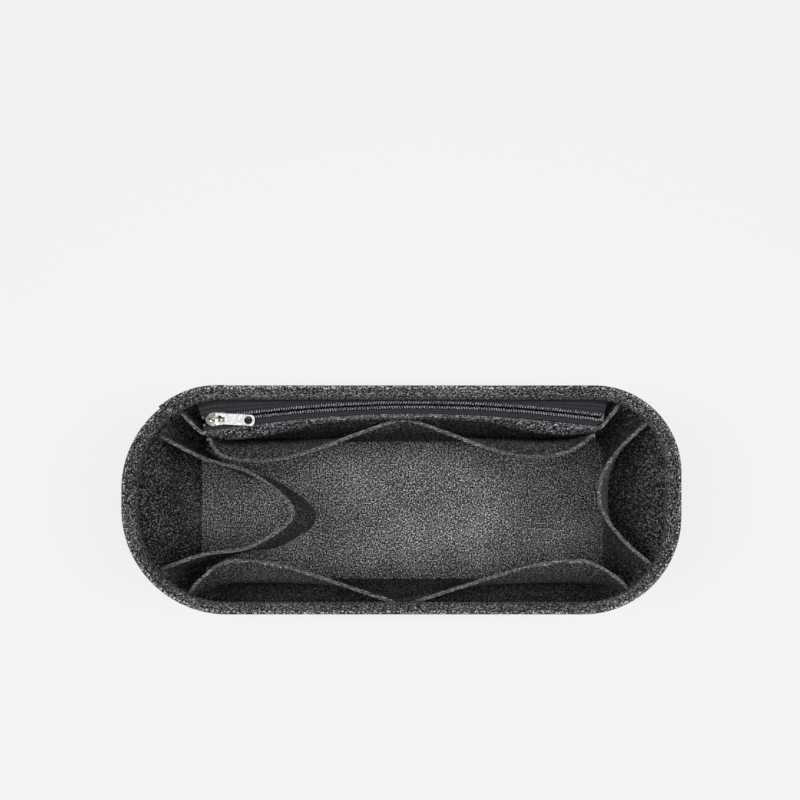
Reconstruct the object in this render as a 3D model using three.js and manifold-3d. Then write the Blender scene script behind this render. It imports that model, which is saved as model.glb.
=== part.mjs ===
// Felt purse organizer insert: a tapering felt tub with slip pockets, a bottle holder and a zipped pocket.
// Millimetres, +Z up, origin under the middle of the base, +Y towards the zipped back wall.
import * as THREE from 'three';
import { mergeVertices } from 'three/addons/utils/BufferGeometryUtils.js';
import Module from 'manifold-3d';

const wasm = await Module();
wasm.setup();

// Tub
const rimLength = 300;
const rimWidth = 123;
const baseLength = 286;
const baseWidth = 106;
const height = 150;
const baseCornerRadius = 15;
const backLeftRimRadius = 56;
const frontLeftRimRadius = 57;
const frontRightRimRadius = 53;
const backRightRimRadius = 47;
const leastStraight = 4;
const felt = 2;
const layerGap = 0.35;

// Folded hem and the lap that closes the wall strip
const hemDepth = 14;
const foldRadius = 1.4;
const lapPlace = 118;
const lapLength = 14;
const lapRun = 40;
const joggleRun = 8;
const joggleEnd = 1;
const underRoot = 14;
const underSkin = 0.15;

// Zip
const zipRadius = 745;
const zipApexX = 8;
const zipDrop = 6.5;
const zipSetback = 2;
const chainStart = -117;
const chainEnd = 102.5;
const tapeThickness = 0.5;
const tapeEdge = 1.25;
const tapeFold = 4.35;
const tapeTurn = 4.5;
const tapeSlant = 3.2;
const tapeTuck = 5;
const tapeMargin = 0.3;
const toothPitch = 4;
const toothLength = 2.6;
const coilInner = 0.7;
const coilSpine = 1.6;
const coilOuter = 2.35;
const coilHeight = 2.2;
const stopLength = 1.6;
const stopWidth = 1.8;

// Slider and pull tab
const sliderLength = 11.5;
const sliderWidth = 7.5;
const sliderRearWidth = 6;
const sliderShoulder = 4.2;
const sliderTip = 1.8;
const plateThickness = 1.1;
const plateGap = 0.4;
const bottomPlateWidth = 6.4;
const flangeThickness = 0.7;
const postLength = 2;
const postThickness = 0.7;
const crownLength = 6.8;
const crownThickness = 1.6;
const crownBar = 1;
const crownOpening = 2.8;
const tabLength = 21.5;
const tabWidth = 6;
const tabThickness = 1;
const tabBar = 1.4;
const tabEyeLength = 3.8;
const tabEyeWidth = 3.4;
const tabHole = 4.6;
const tabHoleEdge = 1.2;
const pivotAlong = 0.6;
const pivotHeight = 1.4;
const tabYaw = 11;

// Zip pocket panel, slip pockets and bottle holder
const flange = 6;
const pocketFoot = 2;
const seamPlace = 1;
const seamHalf = 3;
const panelRise = 1;
const panelRightRun = 12;
const panelLeftRun = 8;
const panelTurn = 0.75;
const panelCornerRoom = 0.35;
const panelBelly = 4;
const panelGap = 0.5;
const panelLean = 0.8;
const bellyLift = 6.6;
const bellyTaper = 2.8;
const centrePull = 2.2;
const centreRun = 80;
const pullLift = 13;
const mouthSkew = 0.526;
const backMouthSkew = 0.75;
const mouthLean = 1.8;
const frontPocketDrop = 6;
const frontPocketLeft = 121;
const frontPocketRight = 130;
const frontPocketBulge = 24;
const backPocketDrop = 17;
const backPocketFlange = 4;
const backPocketBulge = 13;
const endPocketDrop = 2;
const endPocketFront = 39;
const endPocketBack = 48;
const endPocketBulge = 28.8;
const endMouthRoundness = 0.93;
const endMouthLean = 1.35;
const holderDrop = 16;
const holderBackEnd = 41;
const holderFrontEnd = 42;
const holderReach = 85;
const holderMid = 62;
const holderNear = 34;
const holderBackSetback = 42;
const holderNearBackSetback = 33;
const holderFrontSetback = 33;
const holderNearFrontSetback = 28;
const holderNosePlace = 6;
const holderSteps = 24;

// Sewing thread
const threadRadius = 0.35;
const hemStitchRise = 3;
const footStitchRise = 3;
const edgeStitch = 3.2;
const seamEnd = 3.6;
const threadEnd = 2;

// Facets in each corner, long side, short side and half of the back
const cornerSteps = 8;
const longSteps = 3;
const shortSteps = 1;
const halfSteps = 2;
const lapSteps = 10;
const underSteps = 14;
const wallRows = 6;
const mouthSteps = 10;
const mouthCrowding = 1.7;
const pocketRows = 7;
const panelLevels = [0, 0.2, 0.4, 0.55, 0.68, 0.77, 0.83, 0.87, 0.905, 0.94, 0.97, 1];
const rampSteps = 4;
const endSteps = 14;
const tapeSteps = 26;
const seamSteps = 10;

const hemEdge = height - hemDepth;
const seat = felt + layerGap + felt / 2;
const hemGap = tapeThickness + 2 * layerGap;
const hemFace = 2 * felt + hemGap;
const zipHeight = hemEdge - zipDrop;
const threadLift = felt / 2 + layerGap + threadRadius;
const pocketBottom = felt + pocketFoot;

const material = (color, roughness, metalness) => {
  return new THREE.MeshStandardMaterial({ color, roughness, metalness });
};
const feltMaterial = () => material('#4b4b4d', 0.95, 0);
const tapeMaterial = () => material('#57525a', 0.85, 0);
const coilMaterial = () => material('#17171a', 0.45, 0);
const metalMaterial = () => material('#d6d6d2', 0.25, 1);
const threadMaterial = () => material('#2e2e31', 0.8, 0);

const steps = (count) => Array.from({ length: count + 1 }, (_, i) => i / count);
const mix = (low, high, share) => low + (high - low) * share;

// Plan of the tub's outside at one height: half sizes, corner radii and the run of each straight and arc,
// counted anticlockwise from the middle of the back wall
function planAt(z) {
  const halfLength = mix(baseLength, rimLength, z / height) / 2;
  const halfWidth = mix(baseWidth, rimWidth, z / height) / 2;
  const rimRadii = [backLeftRimRadius, frontLeftRimRadius, frontRightRimRadius, backRightRimRadius];
  const radii = rimRadii.map((rim) => {
    return Math.min(mix(baseCornerRadius, rim, z / height), halfWidth - leastStraight / 2);
  });
  const [backLeft, frontLeft, frontRight, backRight] = radii;
  const arc = (radius) => (Math.PI / 2) * radius;
  const runs = [
    halfLength - backLeft, arc(backLeft), 2 * halfWidth - backLeft - frontLeft, arc(frontLeft),
    2 * halfLength - frontLeft - frontRight, arc(frontRight), 2 * halfWidth - frontRight - backRight,
    arc(backRight), halfLength - backRight,
  ];
  const ends = runs.map((_, i) => runs.slice(0, i + 1).reduce((a, b) => a + b));
  return { halfLength, halfWidth, radii, runs, ends, perimeter: ends[8] };
}

// Distance round the plan to the middle of a side
function middleOf(side, plan) {
  const { ends, radii, halfLength, halfWidth } = plan;
  if (side === 'left') return ends[1] + halfWidth - radii[0];
  if (side === 'front') return ends[3] + halfLength - radii[1];
  if (side === 'right') return ends[5] + halfWidth - radii[2];
  return 0;
}

// A point of the wall: a distance round the plan, a height, and how far in from the outside
function wallPoint(distance, z, inset) {
  const plan = planAt(z);
  const { halfLength, halfWidth, radii, runs, ends, perimeter } = plan;
  const around = ((distance % perimeter) + perimeter) % perimeter;
  const part = ends.findIndex((end) => around <= end);
  const along = around - (ends[part] - runs[part]);
  const corner = (part - 1) / 2;
  if (Number.isInteger(corner)) {
    const radius = radii[corner];
    const sideX = corner < 2 ? -1 : 1;
    const sideY = corner === 0 || corner === 3 ? 1 : -1;
    const angle = (Math.PI / 2) * (corner + 1) + along / radius;
    const x = sideX * (halfLength - radius) + (radius - inset) * Math.cos(angle);
    const y = sideY * (halfWidth - radius) + (radius - inset) * Math.sin(angle);
    return new THREE.Vector3(x, y, z);
  }
  if (part === 0) return new THREE.Vector3(-along, halfWidth - inset, z);
  if (part === 2) return new THREE.Vector3(inset - halfLength, halfWidth - radii[0] - along, z);
  if (part === 4) return new THREE.Vector3(radii[1] - halfLength + along, inset - halfWidth, z);
  if (part === 6) return new THREE.Vector3(halfLength - inset, radii[2] - halfWidth + along, z);
  return new THREE.Vector3(halfLength - radii[3] - along, halfWidth - inset, z);
}

// A point of the wall by its side: distance anticlockwise from the side's middle
const onWall = (side, along, z, inset) => wallPoint(middleOf(side, planAt(z)) + along, z, inset);

function geometryOf(points, triangles) {
  const geometry = new THREE.BufferGeometry();
  const places = points.flatMap((p) => [p.x, p.y, p.z]);
  geometry.setAttribute('position', new THREE.Float32BufferAttribute(places, 3));
  geometry.setIndex(triangles.flat());
  geometry.computeVertexNormals();
  return geometry;
}

// A surface point and its unit normal
function surfaceAt(surface, u, v, nudge = 1e-3) {
  const point = surface(u, v);
  const across = surface(Math.min(u + nudge, 1), v).sub(surface(Math.max(u - nudge, 0), v));
  const up = surface(u, Math.min(v + nudge, 1)).sub(surface(u, Math.max(v - nudge, 0)));
  return { point, normal: across.cross(up).normalize() };
}

// A closed sheet of even thickness about a middle surface, with its normals taken from the sampled grid
function sheet(surface, columns, rows, thickness) {
  const grid = columns.map((u) => rows.map((v) => surface(u, v)));
  const last = columns.length - 1;
  const top = rows.length - 1;
  const points = [];
  for (const side of [0.5, -0.5]) {
    for (let i = 0; i <= last; i += 1) {
      for (let j = 0; j <= top; j += 1) {
        const across = grid[Math.min(i + 1, last)][j].clone().sub(grid[Math.max(i - 1, 0)][j]);
        const up = grid[i][Math.min(j + 1, top)].clone().sub(grid[i][Math.max(j - 1, 0)]);
        const normal = across.cross(up).normalize();
        points.push(grid[i][j].clone().addScaledVector(normal, side * thickness));
      }
    }
  }
  const front = (i, j) => i * (top + 1) + j;
  const back = (i, j) => (last + 1) * (top + 1) + front(i, j);
  const triangles = [];
  const quad = (a, b, c, d) => triangles.push([a, b, c], [a, c, d]);
  for (let i = 0; i < last; i += 1) {
    for (let j = 0; j < top; j += 1) {
      quad(front(i, j), front(i + 1, j), front(i + 1, j + 1), front(i, j + 1));
      triangles.push([back(i, j), back(i + 1, j + 1), back(i + 1, j)]);
      triangles.push([back(i, j), back(i, j + 1), back(i + 1, j + 1)]);
    }
    quad(front(i, 0), back(i, 0), back(i + 1, 0), front(i + 1, 0));
    quad(front(i, top), front(i + 1, top), back(i + 1, top), back(i, top));
  }
  for (let j = 0; j < top; j += 1) {
    quad(front(0, j), front(0, j + 1), back(0, j + 1), back(0, j));
    quad(front(last, j), back(last, j), back(last, j + 1), front(last, j + 1));
  }
  return geometryOf(points, triangles);
}

// A closed body swept from rings of points that all turn the same way
function sweep(rings) {
  const size = rings[0].length;
  const triangles = [];
  for (let i = 0; i < rings.length - 1; i += 1) {
    for (let j = 0; j < size; j += 1) {
      const next = (j + 1) % size;
      const here = i * size;
      triangles.push([here + j, here + size + j, here + size + next]);
      triangles.push([here + j, here + size + next, here + next]);
    }
  }
  return { points: rings.flat(), triangles };
}

function toSolid(geometry) {
  const bare = geometry.clone();
  bare.deleteAttribute('normal');
  bare.deleteAttribute('uv');
  const merged = mergeVertices(bare, 1e-4);
  const vertProperties = new Float32Array(merged.attributes.position.array);
  const triVerts = new Uint32Array(merged.index.array);
  return new wasm.Manifold(new wasm.Mesh({ numProp: 3, vertProperties, triVerts }));
}

function fromSolid(solid) {
  const { vertProperties, triVerts } = solid.getMesh();
  const geometry = new THREE.BufferGeometry();
  geometry.setAttribute('position', new THREE.BufferAttribute(vertProperties, 3));
  geometry.setIndex(new THREE.BufferAttribute(triVerts, 1));
  geometry.computeVertexNormals();
  return geometry;
}

const joined = (geometries) => fromSolid(geometries.map(toSolid).reduce((a, b) => a.add(b)));

const insert = new THREE.Group();
const addPiece = (name, geometry, finish, parent = insert) => {
  const mesh = new THREE.Mesh(geometry, finish);
  mesh.name = name;
  parent.add(mesh);
};

// Base panel: a flat felt plate inside the foot of the wall
function basePanel() {
  const { halfLength, halfWidth, radii } = planAt(0);
  const inset = felt + layerGap;
  const radius = radii[0] - inset;
  const x = halfLength - inset - radius;
  const y = halfWidth - inset - radius;
  const shape = new THREE.Shape();
  shape.absarc(x, y, radius, 0, Math.PI / 2);
  shape.absarc(-x, y, radius, Math.PI / 2, Math.PI);
  shape.absarc(-x, -y, radius, Math.PI, Math.PI * 1.5);
  shape.absarc(x, -y, radius, Math.PI * 1.5, Math.PI * 2);
  return new THREE.ExtrudeGeometry(shape, { depth: felt, bevelEnabled: false, curveSegments: 5 });
}

// Section of the wall strip: outer layer, fold over the rim, and the hem that hangs inside it;
// step tells which points move out with the outer layer at the lap
function wallSection() {
  const levels = steps(wallRows).map((share) => share * (height - foldRadius));
  const bend = foldRadius * (1 - Math.SQRT1_2);
  const outer = [...levels.map((z) => [0, z]), [bend, height - bend], [foldRadius, height]];
  const hem = [
    [hemFace - foldRadius, height], [hemFace - bend, height - bend], [hemFace, height - foldRadius],
    [hemFace, hemEdge], [hemFace - felt, hemEdge], [hemFace - felt, height - felt],
  ];
  const inner = [[felt, height - felt], ...levels.slice(0, -1).reverse().map((z) => [felt, z])];
  const points = (list, step) => list.map(([inset, z]) => ({ inset, z, step }));
  return [...points(outer, 1), ...points(hem, 0), ...points(inner, 1)];
}

// Distances once round the tub at one height, from a place past the lap to a place short of it
function roundPlaces(z, start, finish) {
  const { ends, perimeter } = planAt(z);
  const marks = [start, ...ends.slice(1, 8), ...[0, finish - lapRun, finish].map((past) => perimeter + past)];
  const around = [shortSteps, cornerSteps, longSteps, cornerSteps, shortSteps, cornerSteps];
  const counts = [lapSteps, ...around, halfSteps, halfSteps, lapSteps];
  return counts.flatMap((count, i) => {
    return steps(count).slice(i ? 1 : 0).map((share) => mix(marks[i], marks[i + 1], share));
  });
}

// Wall strip: runs anticlockwise from the lap, steps out there, and laps outside its own plain start
function wallStrip() {
  const section = wallSection();
  const lapEnd = lapPlace + lapLength;
  const stepOut = (past) => {
    return (felt + layerGap) * THREE.MathUtils.smoothstep(past, lapPlace - joggleRun, lapPlace - joggleEnd);
  };
  const columns = section.map(({ z }) => roundPlaces(z, lapEnd + layerGap, lapEnd));
  const rings = columns[0].map((_, i) => section.map(({ inset, z, step }, j) => {
    const out = step * stepOut(columns[j][i] - planAt(z).perimeter);
    return wallPoint(columns[j][i], z, inset - out);
  }));
  const { points, triangles } = sweep(rings);
  const last = (rings.length - 1) * section.length;
  for (const [first, out, order] of [[0, 0, [0, 1, 2]], [last, felt + layerGap, [0, 2, 1]]]) {
    const outline = section.map(({ inset, z, step }) => new THREE.Vector2(inset - step * out, z));
    const turned = THREE.ShapeUtils.isClockWise(outline) ? [...order].reverse() : order;
    for (const face of THREE.ShapeUtils.triangulateShape(outline, [])) {
      triangles.push(turned.map((k) => first + face[k]));
    }
  }
  const under = sheet(
    (u, v) => {
      const z = THREE.MathUtils.clamp(v * (height - foldRadius), layerGap, height - felt - layerGap);
      return wallPoint(mix(lapPlace, lapEnd + underRoot, u), z, felt / 2);
    },
    steps(underSteps), steps(wallRows), felt - 2 * underSkin,
  );
  const body = geometryOf(points, triangles);
  return joined([body, under]);
}

// Zip line: a long arc in plan, with its middle towards the back wall
const tabHalf = tabWidth / 2;
const zipApexY = planAt(hemEdge).halfWidth - hemFace - zipSetback;
const zipCentre = new THREE.Vector3(zipApexX, zipApexY - zipRadius, 0);

// A point of the zip: distance along from the apex towards +X, distance across towards the front, height
function zipPoint(along, across, z) {
  const angle = along / zipRadius;
  const reach = zipRadius - across;
  return new THREE.Vector3(zipCentre.x + reach * Math.sin(angle), zipCentre.y + reach * Math.cos(angle), z);
}

// How far in from the outside of the back wall a line concentric with the zip lies
function zipInset(along, z, across) {
  const foot = onWall('back', along, z, 0);
  const inward = onWall('back', along, z, 1).sub(foot);
  const offset = foot.sub(zipCentre).setZ(0);
  const half = offset.dot(inward);
  const reach = zipRadius - across;
  return -half - Math.sqrt(half * half - offset.lengthSq() + reach * reach);
}

// Distance along the back wall to the place that faces a point of the zip
function stationFacing(zipAlong, across) {
  let low = -rimLength;
  let high = rimLength;
  for (let i = 0; i < 40; i += 1) {
    const middle = (low + high) / 2;
    const point = onWall('back', middle, zipHeight, zipInset(middle, zipHeight, across));
    const along = Math.atan2(point.x - zipCentre.x, point.y - zipCentre.y) * zipRadius;
    if (along > zipAlong) low = middle;
    else high = middle;
  }
  return (low + high) / 2;
}

const tapeStart = chainStart - layerGap - stopLength - tapeMargin;
const tapeEnd = chainEnd + layerGap + stopLength + tapeMargin;

// Back tape: flat from the coil to the wall, then up between the wall and the hem
function backTape() {
  const first = stationFacing(tapeEnd, -tapeEdge);
  const last = stationFacing(tapeStart, -tapeEdge);
  const onTape = felt + layerGap + tapeThickness / 2;
  const flat = zipHeight - tapeThickness / 2;
  return sheet(
    (u, v) => {
      const along = mix(first, last, u);
      if (v > 0.5) return onWall('back', along, mix(flat, hemEdge + tapeTuck, 2 * v - 1), onTape);
      return onWall('back', along, flat, mix(zipInset(along, flat, -tapeEdge), onTape, 2 * v));
    },
    steps(tapeSteps), [0, 0.4, 0.5, 0.65, 1], tapeThickness,
  );
}

// Front tape: flat from the coil, then turned down behind the pocket panel
function frontTape() {
  const flat = zipHeight - tapeThickness / 2;
  return sheet(
    (u, v) => {
      const out = Math.min(2 - 2 * v, 1);
      const along = mix(tapeEnd - tapeSlant * out, tapeStart, u);
      if (v > 0.5) return zipPoint(along, mix(tapeEdge, tapeFold, out), flat);
      return zipPoint(along, tapeFold, mix(flat - tapeTurn, flat, 2 * v));
    },
    steps(tapeSteps), [0, 0.4, 0.5, 0.6, 1], tapeThickness,
  );
}

// One half of the coil: a comb of teeth on a spine, bent to the zip line
function coil(side) {
  const count = Math.round((chainEnd - chainStart) / toothPitch);
  const pitch = (chainEnd - chainStart) / count;
  const middles = steps(count).slice(0, -1).map((share) => mix(chainStart, chainEnd, share) + pitch / 2);
  const teeth = middles.flatMap((middle) => [middle - toothLength / 2, middle + toothLength / 2]);
  const places = [chainStart, ...teeth, chainEnd];
  const low = zipHeight + layerGap;
  const high = low + coilHeight;
  const corners = [];
  const face = (...ring) => {
    const [a, b, c, d] = ring.map(([i, across, z]) => zipPoint(places[i], side * across, z));
    corners.push(...(side < 0 ? [a, b, c, a, c, d] : [a, c, b, a, d, c]));
  };
  const cross = (i, first, second) => {
    face([i, first, low], [i, second, low], [i, second, high], [i, first, high]);
  };
  const slab = (i, outer, inner) => {
    face([i, outer, high], [i, inner, high], [i + 1, inner, high], [i + 1, outer, high]);
    face([i, outer, low], [i + 1, outer, low], [i + 1, inner, low], [i, inner, low]);
  };
  for (let i = 0; i < places.length - 1; i += 1) {
    const isTooth = i % 2 === 1;
    const edge = isTooth ? coilInner : coilSpine;
    slab(i, coilOuter, coilSpine);
    face([i + 1, coilOuter, low], [i, coilOuter, low], [i, coilOuter, high], [i + 1, coilOuter, high]);
    face([i, edge, low], [i + 1, edge, low], [i + 1, edge, high], [i, edge, high]);
    if (isTooth) {
      slab(i, coilSpine, coilInner);
      cross(i, coilSpine, coilInner);
      cross(i + 1, coilInner, coilSpine);
    }
  }
  cross(0, coilOuter, coilSpine);
  cross(places.length - 1, coilSpine, coilOuter);
  const geometry = mergeVertices(new THREE.BufferGeometry().setFromPoints(corners));
  geometry.computeVertexNormals();
  return geometry;
}

// A group on the zip line whose children use x along the zip, y across it towards the back, z above the tape
function zipGroup(along) {
  const turn = new THREE.Group();
  turn.position.copy(zipCentre);
  turn.rotation.z = -along / zipRadius;
  const place = new THREE.Group();
  place.position.set(0, zipRadius, zipHeight);
  turn.add(place);
  insert.add(turn);
  return place;
}

function block(length, width, depth, x, y, z) {
  return new THREE.BoxGeometry(length, width, depth).translate(x, y, z + depth / 2);
}

const plateBottom = layerGap + coilHeight + plateGap;
const plateTop = plateBottom + plateThickness;
const sliderHalf = sliderLength / 2;
const sliderPlace = chainStart + sliderHalf + layerGap;

// Slider body: two plates joined by a post, side flanges that guide the coil, and a crown for the tab
function sliderBody() {
  const plate = (noseWidth, rearWidth, z) => {
    const shape = new THREE.Shape();
    const cheek = -sliderHalf + sliderShoulder / 2;
    shape.moveTo(-sliderHalf, -sliderTip / 2);
    shape.quadraticCurveTo(cheek, -noseWidth / 2, -sliderHalf + sliderShoulder, -noseWidth / 2);
    shape.lineTo(0, -noseWidth / 2);
    shape.quadraticCurveTo(sliderHalf / 2, -rearWidth / 2, sliderHalf, -rearWidth / 2);
    shape.lineTo(sliderHalf, rearWidth / 2);
    shape.quadraticCurveTo(sliderHalf / 2, rearWidth / 2, 0, noseWidth / 2);
    shape.lineTo(-sliderHalf + sliderShoulder, noseWidth / 2);
    shape.quadraticCurveTo(cheek, noseWidth / 2, -sliderHalf, sliderTip / 2);
    const options = { depth: plateThickness, bevelEnabled: false, curveSegments: 4 };
    return new THREE.ExtrudeGeometry(shape, options).translate(0, 0, z);
  };
  const bottom = -tapeThickness - layerGap - plateThickness;
  const flangeRun = sliderLength - sliderShoulder - flangeThickness;
  const flangeY = coilOuter + plateGap + flangeThickness / 2;
  const flangeX = (sliderShoulder - flangeThickness) / 2;
  const flangeAt = (side) => {
    const depth = plateBottom + plateThickness / 2 - layerGap;
    return block(flangeRun, flangeThickness, depth, flangeX, side * flangeY, layerGap);
  };
  const postDepth = plateTop - bottom - plateThickness;
  const postX = -sliderHalf + postLength / 2 + flangeThickness;
  const post = block(postLength, postThickness, postDepth, postX, 0, bottom + plateThickness / 2);
  const arch = new THREE.Shape();
  const crownTop = crownOpening + crownBar;
  const foot = -plateThickness / 2;
  arch.moveTo(-crownLength / 2, foot);
  arch.lineTo(-crownLength / 2 + crownBar, foot);
  arch.lineTo(-crownLength / 2 + crownBar, crownOpening);
  arch.lineTo(crownLength / 2 - crownBar, crownOpening);
  arch.lineTo(crownLength / 2 - crownBar, foot);
  arch.lineTo(crownLength / 2, foot);
  arch.lineTo(crownLength / 2, crownOpening);
  arch.lineTo(crownLength / 2 - crownBar, crownTop);
  arch.lineTo(-crownLength / 2 + crownBar, crownTop);
  arch.lineTo(-crownLength / 2, crownOpening);
  const crown = new THREE.ExtrudeGeometry(arch, { depth: crownThickness, bevelEnabled: false });
  crown.rotateX(Math.PI / 2).translate(0, crownThickness / 2, plateTop);
  const topPlate = plate(sliderWidth, sliderRearWidth, plateBottom);
  const bottomPlate = plate(bottomPlateWidth, sliderRearWidth, bottom);
  return joined([topPlate, bottomPlate, flangeAt(1), flangeAt(-1), post, crown]);
}

// Pull tab: a flat plate with a rectangular eye round the crown and a round hole at its free end
function pullTab() {
  const shape = new THREE.Shape();
  const end = tabLength - tabBar / 2;
  const round = tabHole / 2;
  shape.moveTo(-tabBar / 2, -tabHalf);
  shape.lineTo(end - round, -tabHalf);
  shape.quadraticCurveTo(end, -tabHalf, end, 0);
  shape.quadraticCurveTo(end, tabHalf, end - round, tabHalf);
  shape.lineTo(-tabBar / 2, tabHalf);
  const eye = new THREE.Path();
  eye.moveTo(tabBar / 2, -tabEyeWidth / 2);
  eye.lineTo(tabBar / 2, tabEyeWidth / 2);
  eye.lineTo(tabBar / 2 + tabEyeLength, tabEyeWidth / 2);
  eye.lineTo(tabBar / 2 + tabEyeLength, -tabEyeWidth / 2);
  const hole = new THREE.Path();
  hole.absarc(end - tabHoleEdge - tabHole / 2, 0, tabHole / 2, 0, Math.PI * 2, true);
  shape.holes.push(eye, hole);
  const options = { depth: tabThickness, bevelEnabled: false, curveSegments: 10 };
  return new THREE.ExtrudeGeometry(shape, options).translate(0, 0, -tabThickness / 2);
}

// How a pocket mouth stands off between its end, at 0, and its centre seam, at 1
const mouth = (share, skew) => Math.sin(Math.PI * THREE.MathUtils.clamp(share, 0, 1) ** skew);

// How a mouth's stand-off grows from the foot of the pocket, at 0, to its top edge, at 1
const lean = (v) => v ** mouthLean;

// Stand-off of a pair of mouths that share a centre seam; low and high are the two ends
function pairOfMouths(along, low, high, seam, skew = mouthSkew) {
  if (along < seam) return mouth((along - low) / (seam - seamHalf - low), skew);
  return mouth((high - along) / (high - seam - seamHalf), skew);
}

// Places along a pair of mouths: close together at the ends, where the felt turns away
function pairPlaces(low, high, seam) {
  const close = steps(mouthSteps).map((share) => share ** mouthCrowding);
  const left = close.map((share) => mix(low, seam - seamHalf, share));
  const right = close.map((share) => mix(high, seam + seamHalf, share));
  return [...left, ...right.reverse()];
}

// Shares of a strip's length for a list of places along it
const shares = (places) => places.map((place) => (place - places[0]) / (places.at(-1) - places[0]));

function pairColumns(low, high, seam, turn) {
  const between = pairPlaces(low, high, seam);
  return shares([low - turn, low - turn / 2, ...between, high + turn / 2, high + turn]);
}

const rowsToTop = steps(pocketRows).map((share) => Math.sin((share * Math.PI) / 2));

const panelTop = zipHeight + panelRise;
const panelAcross = tapeFold + tapeThickness / 2 + layerGap + felt / 2;
const panelLow = stationFacing(tapeEnd - tapeSlant + panelCornerRoom, panelAcross);
const panelHigh = stationFacing(tapeStart - panelCornerRoom, panelAcross);
const backSeam = -seamPlace;
const panelUpright = zipHeight - tapeTurn - felt;

// How far in the zip pocket panel's middle lies at a place on the back wall: it stands upright along the
// tape, bellies out beside the pockets and is pulled back at their centre seam
function panelInset(along, z) {
  const v = THREE.MathUtils.clamp((z - pocketBottom) / (panelTop - pocketBottom), 0, 1);
  const rise = THREE.MathUtils.clamp((z - pocketBottom) / (panelUpright - pocketBottom), 0, 1);
  const fromEnd = Math.min((along - panelLow) / panelRightRun, (panelHigh - along) / panelLeftRun) + 1;
  const ramp = Math.sin((THREE.MathUtils.clamp(fromEnd, 0, 1) ** panelTurn * Math.PI) / 2);
  const depth = zipInset(along, panelTop, panelAcross) - seat;
  const belly = panelBelly * pairOfMouths(along, panelLow, panelHigh, backSeam) ** bellyTaper;
  const hump = Math.sin(Math.PI * v ** bellyLift);
  const fromSeam = Math.min(Math.abs(along - backSeam) / centreRun, 1);
  const pull = centrePull * Math.cos((fromSeam * Math.PI) / 2) ** 2 * Math.sin(Math.PI * rise ** pullLift);
  return seat + ramp * depth * rise ** panelLean + hump * belly - pull;
}

const panelPoint = (along, z) => onWall('back', along, z, panelInset(along, z));

function panelSurface(u, v) {
  const along = mix(panelLow - panelRightRun - flange, panelHigh + panelLeftRun + flange, u);
  return panelPoint(along, mix(pocketBottom, panelTop, v));
}

function zipPanel() {
  const ramp = steps(rampSteps).slice(0, -1);
  const turned = (run) => [-flange, -flange / 2, ...ramp.map((share) => share * run)];
  const rightEnd = turned(panelRightRun).map((run) => panelLow - panelRightRun + run);
  const leftEnd = turned(panelLeftRun).map((run) => panelHigh + panelLeftRun - run).reverse();
  const columns = shares([...rightEnd, ...pairPlaces(panelLow, panelHigh, backSeam), ...leftEnd]);
  return sheet(panelSurface, columns, panelLevels, felt);
}

// Back slip pocket: a strip sewn to the zip pocket panel at its ends and down its middle
const backPocketTop = hemEdge - backPocketDrop;
const backPocketLow = panelLow + backPocketFlange;
const backPocketHigh = panelHigh - backPocketFlange;

function backPocketSurface(u, v) {
  const along = mix(panelLow, panelHigh, u);
  const z = mix(pocketBottom, backPocketTop, v);
  const open = pairOfMouths(along, backPocketLow, backPocketHigh, backSeam, backMouthSkew);
  const bulge = backPocketBulge * open * lean(v);
  const across = panelPoint(along + 1, z).sub(panelPoint(along - 1, z));
  const up = panelPoint(along, z + 1).sub(panelPoint(along, z - 1));
  const inward = up.cross(across).normalize();
  const fromPanel = panelPoint(along, z).addScaledVector(inward, felt + panelGap);
  return fromPanel.addScaledVector(inward.setZ(0).normalize(), bulge);
}

// Front slip pocket: a strip sewn to the front wall at its ends and down its middle
const frontPocketTop = hemEdge - frontPocketDrop;

function frontPocketSurface(u, v) {
  const along = mix(-frontPocketLeft - flange, frontPocketRight + flange, u);
  const z = mix(pocketBottom, frontPocketTop, v);
  const open = pairOfMouths(along, -frontPocketLeft, frontPocketRight, seamPlace);
  return onWall('front', along, z, seat + frontPocketBulge * open * lean(v));
}

// End slip pocket: a strip across the right end; its mouth is an arc on the chord between its two seams
const endPocketTop = hemEdge - endPocketDrop;

function endPocketSurface(u, v) {
  const along = mix(-endPocketFront - flange, endPocketBack + flange, u);
  const z = mix(pocketBottom, endPocketTop, v);
  const share = (along + endPocketFront) / (endPocketFront + endPocketBack);
  const onEnd = onWall('right', along, z, seat);
  if (share <= 0 || share >= 1) return onEnd;
  const frontSide = onWall('right', -endPocketFront, z, seat);
  const backSide = onWall('right', endPocketBack, z, seat);
  const arc = frontSide.lerp(backSide, share);
  arc.x -= endPocketBulge * Math.sin(Math.PI * share) ** endMouthRoundness;
  return onEnd.lerp(arc, v ** endMouthLean);
}

// Bottle holder: an upright strip that loops out from the left end
const holderTop = hemEdge - holderDrop;

function holderCurve(z) {
  const { halfLength, halfWidth } = planAt(holderTop);
  const at = (reach, y) => new THREE.Vector3(reach + felt - halfLength, y, z);
  const back = (reach, setback) => at(reach, halfWidth - felt - setback);
  const front = (reach, setback) => at(reach, setback + felt - halfWidth);
  return new THREE.CatmullRomCurve3([
    onWall('left', -holderBackEnd, z, seat), back(holderNear, holderNearBackSetback),
    back(holderMid, holderBackSetback), at(holderReach, -holderNosePlace),
    front(holderMid, holderFrontSetback), front(holderNear, holderNearFrontSetback),
    onWall('left', holderFrontEnd, z, seat),
  ]);
}

function holderSurface(u, v) {
  const z = mix(felt + layerGap, holderTop, v);
  const place = u * (holderSteps + 2) - 1;
  if (place < 0) return onWall('left', -holderBackEnd + place * flange, z, seat);
  if (place > holderSteps) return onWall('left', holderFrontEnd + (place - holderSteps) * flange, z, seat);
  return holderCurve(z).getPoint(place / holderSteps);
}

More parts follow.
